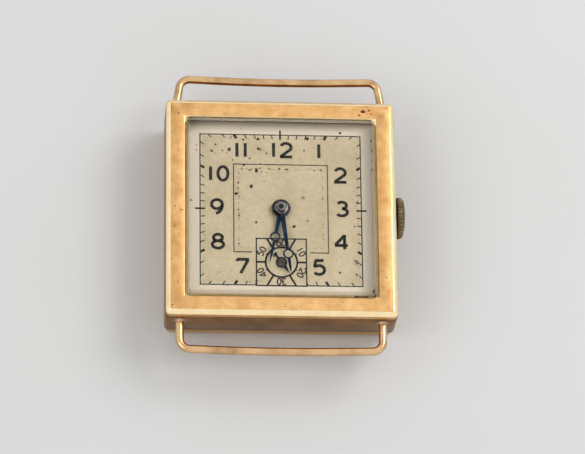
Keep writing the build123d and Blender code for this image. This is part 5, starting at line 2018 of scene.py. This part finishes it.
@dataclass
class Movement:
    """The plates, bridges, wheels and springs inside the case."""

    edges: dict[str, float] = field(
        default_factory=lambda: {
            "main_plate": 0.04,
            "barrel_bridge": 0.05,
            "train_bridge": 0.05,
            "balance_cock": 0.05,
            "movement_ring": 0.05,
            "pallet_bridge": 0.02,
            "setting_bridge": 0.02,
            "bridge_screws": 0.03,
            "case_screws": 0.03,
            "yoke": 0.02,
            "setting_lever": 0.02,
            "crown_tube": 0.03,
            "regulator": 0.02,
            "balance_wheel": 0.02,
        }
    )

    def build(self) -> None:
        """Rounds the edges of the main pieces and dresses every other node."""
        record = frame["record"]
        slot_of = {part["node"]: part["material_slot"] for part in record["subparts"]}
        body_of = {node: body for body, nodes in record["behaviour"]["bodies"].items() for node in nodes}
        for name, node in frame["nodes"].items():
            if node.hide_render or name == "dial":
                continue
            slot = slot_of[name]
            finish = SLOT_FINISHES[slot]
            if name in self.edges:
                settle(soften(name, self.edges[name], 1), finish, body_of[name], slot, name)
            else:
                workshop.dress(node, finish)


@dataclass(frozen=True)
class Lamp:
    """A soft square lamp: its place and side in millimetres, and its power in watts."""

    name: str
    place: Place
    side: float
    power: float


@dataclass
class Studio:
    """The floor, the lamps, the world and the camera."""

    tilt: float = 21.67
    lean: float = 4.26
    roll: float = 0.96
    distance: float = 385.0
    focal_pixels: float = 3495.0
    seen_at: Point = (280.9, 209.5)
    target: Place = (0.0, 0.0, 7.0)
    sensor: float = 36.0
    view_limits: Point = (10.0, 10000.0)
    lamps: tuple[Lamp, ...] = (
        Lamp("key_lamp", (270.0, 150.0, 340.0), 220.0, 0.72),
        Lamp("fill_lamp", (-280.0, -120.0, 300.0), 260.0, 0.3),
    )
    soft_light: float = 0.55
    floor_half: float = 900.0
    floor_tones: tuple[Colour, Colour] = ((0.78, 0.78, 0.77), (0.8, 0.8, 0.8))
    floor_scale: float = 30.0
    floor_roughness: float = 0.6
    fade_limits: Point = (70.0, 350.0)

    def camera(self) -> None:
        """Places the camera at the photograph's angle."""
        back = Vector((-math.sin(math.radians(self.lean)), -math.sin(math.radians(self.tilt)), 0.0))
        back.z = math.sqrt(1 - back.length_squared)
        right = (Vector((1, 0, 0)) - back * back.x).normalized()
        up = back.cross(right)
        roll = math.radians(self.roll)
        right = right * math.cos(roll) + up * math.sin(roll)
        up = back.cross(right)
        scale = self.focal_pixels / self.distance
        across = (IMAGE_SIZE[0] / 2 - self.seen_at[0]) / scale
        down = (IMAGE_SIZE[1] / 2 - self.seen_at[1]) / scale
        place = Vector(self.target) + back * self.distance + right * across - up * down
        data = bpy.data.cameras.new("photo_camera")
        data.sensor_width = self.sensor
        data.lens = self.focal_pixels * self.sensor / IMAGE_SIZE[0]
        data.clip_start, data.clip_end = (limit * MM for limit in self.view_limits)
        obj = bpy.data.objects.new("photo_camera", data)
        turn = Matrix((right, up, back)).transposed().to_4x4()
        obj.matrix_world = Matrix.Translation(place * MM) @ turn
        bpy.context.scene.collection.objects.link(obj)
        bpy.context.scene.camera = obj

    def light(self, lamp: Lamp) -> None:
        """Adds a lamp that points at the watch.

        Args:
            lamp: The lamp's place, size and power.
        """
        data = bpy.data.lights.new(lamp.name, "AREA")
        data.size = lamp.side * MM
        data.energy = lamp.power
        obj = bpy.data.objects.new(lamp.name, data)
        place = Vector(lamp.place)
        obj.location = place * MM
        obj.rotation_euler = (place - Vector(self.target)).to_track_quat("Z", "Y").to_euler()
        bpy.context.scene.collection.objects.link(obj)

    def world(self) -> None:
        """Lights the scene evenly and shows white behind it."""
        world = bpy.data.worlds.new("studio")
        bpy.context.scene.world = world
        world.use_nodes = True
        world.node_tree.nodes.clear()
        tree = Tree(world.node_tree)
        depth = tree.add("ShaderNodeLightPath").outputs["Diffuse Depth"]
        seen = tree.times(seen_rays(tree), tree.math("LESS_THAN", depth, 0.5))
        colour = (*WHITE, 1.0)
        soft = tree.add("ShaderNodeBackground", values={"Color": colour, "Strength": self.soft_light})
        white = tree.add("ShaderNodeBackground", values={"Color": colour, "Strength": 1.0})
        tree.add("ShaderNodeOutputWorld", {"Surface": mix_shaders(tree, seen, soft, white)})

    def floor(self) -> None:
        """Lays a pale floor under the watch."""
        half = self.floor_half
        corners = [(-half, -half, 0), (half, -half, 0), (half, half, 0), (-half, half, 0)]
        obj = make_object("floor", corners, [[0, 1, 2, 3]])
        material, tree, shader, place = start_material("pale_floor", Roughness=self.floor_roughness)
        tone = ramp(tree, noise(tree, place, self.floor_scale, 2.0), (0.3, 0.7), *self.floor_tones)
        tree.link(tone, shader.inputs["Base Color"])
        self.fade(tree, shader, place)
        obj.data.materials.append(material)

    def fade(self, tree: Tree, shader: Node, place: Socket) -> None:
        """Fades the far floor into the white behind it.

        Args:
            tree: The floor material's nodes.
            shader: The floor's shader.
            place: The object coordinates.
        """
        away = tree.add("ShaderNodeVectorMath", {0: place}, operation="LENGTH").outputs["Value"]
        near, far = self.fade_limits
        limits = {"From Min": near * MM, "From Max": far * MM}
        distance = tree.add("ShaderNodeMapRange", {"Value": away}, limits).outputs["Result"]
        white = tree.add("ShaderNodeEmission", values={"Color": (*WHITE, 1.0), "Strength": 1.0})
        share = tree.times(distance, seen_rays(tree))
        tree.link(mix_shaders(tree, share, shader, white), surface_input(tree))

    def build(self) -> None:
        """Sets up the whole studio."""
        bpy.context.scene.view_settings.view_transform = "Standard"
        self.world()
        self.floor()
        self.camera()
        for lamp in self.lamps:
            self.light(lamp)


def main() -> None:
    """Builds the watch piece by piece."""
    logging.basicConfig(level=logging.INFO, format="%(name)s: %(message)s")
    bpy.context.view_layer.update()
    Bezel().build()
    CaseBody().build()
    tree = wire_tree()
    WireLug("upper_wire_lug", 23.04, 3.3, 0.55, -0.36, 1).build(tree)
    WireLug("lower_wire_lug", 22.2, 3.3, 0.0, 0.3, -1).build(tree)
    Crown().build()
    Crystal().build()
    Dial().build()
    Hands().build()
    Movement().build()
    Studio().build()


if __name__ == "__main__":
    main()
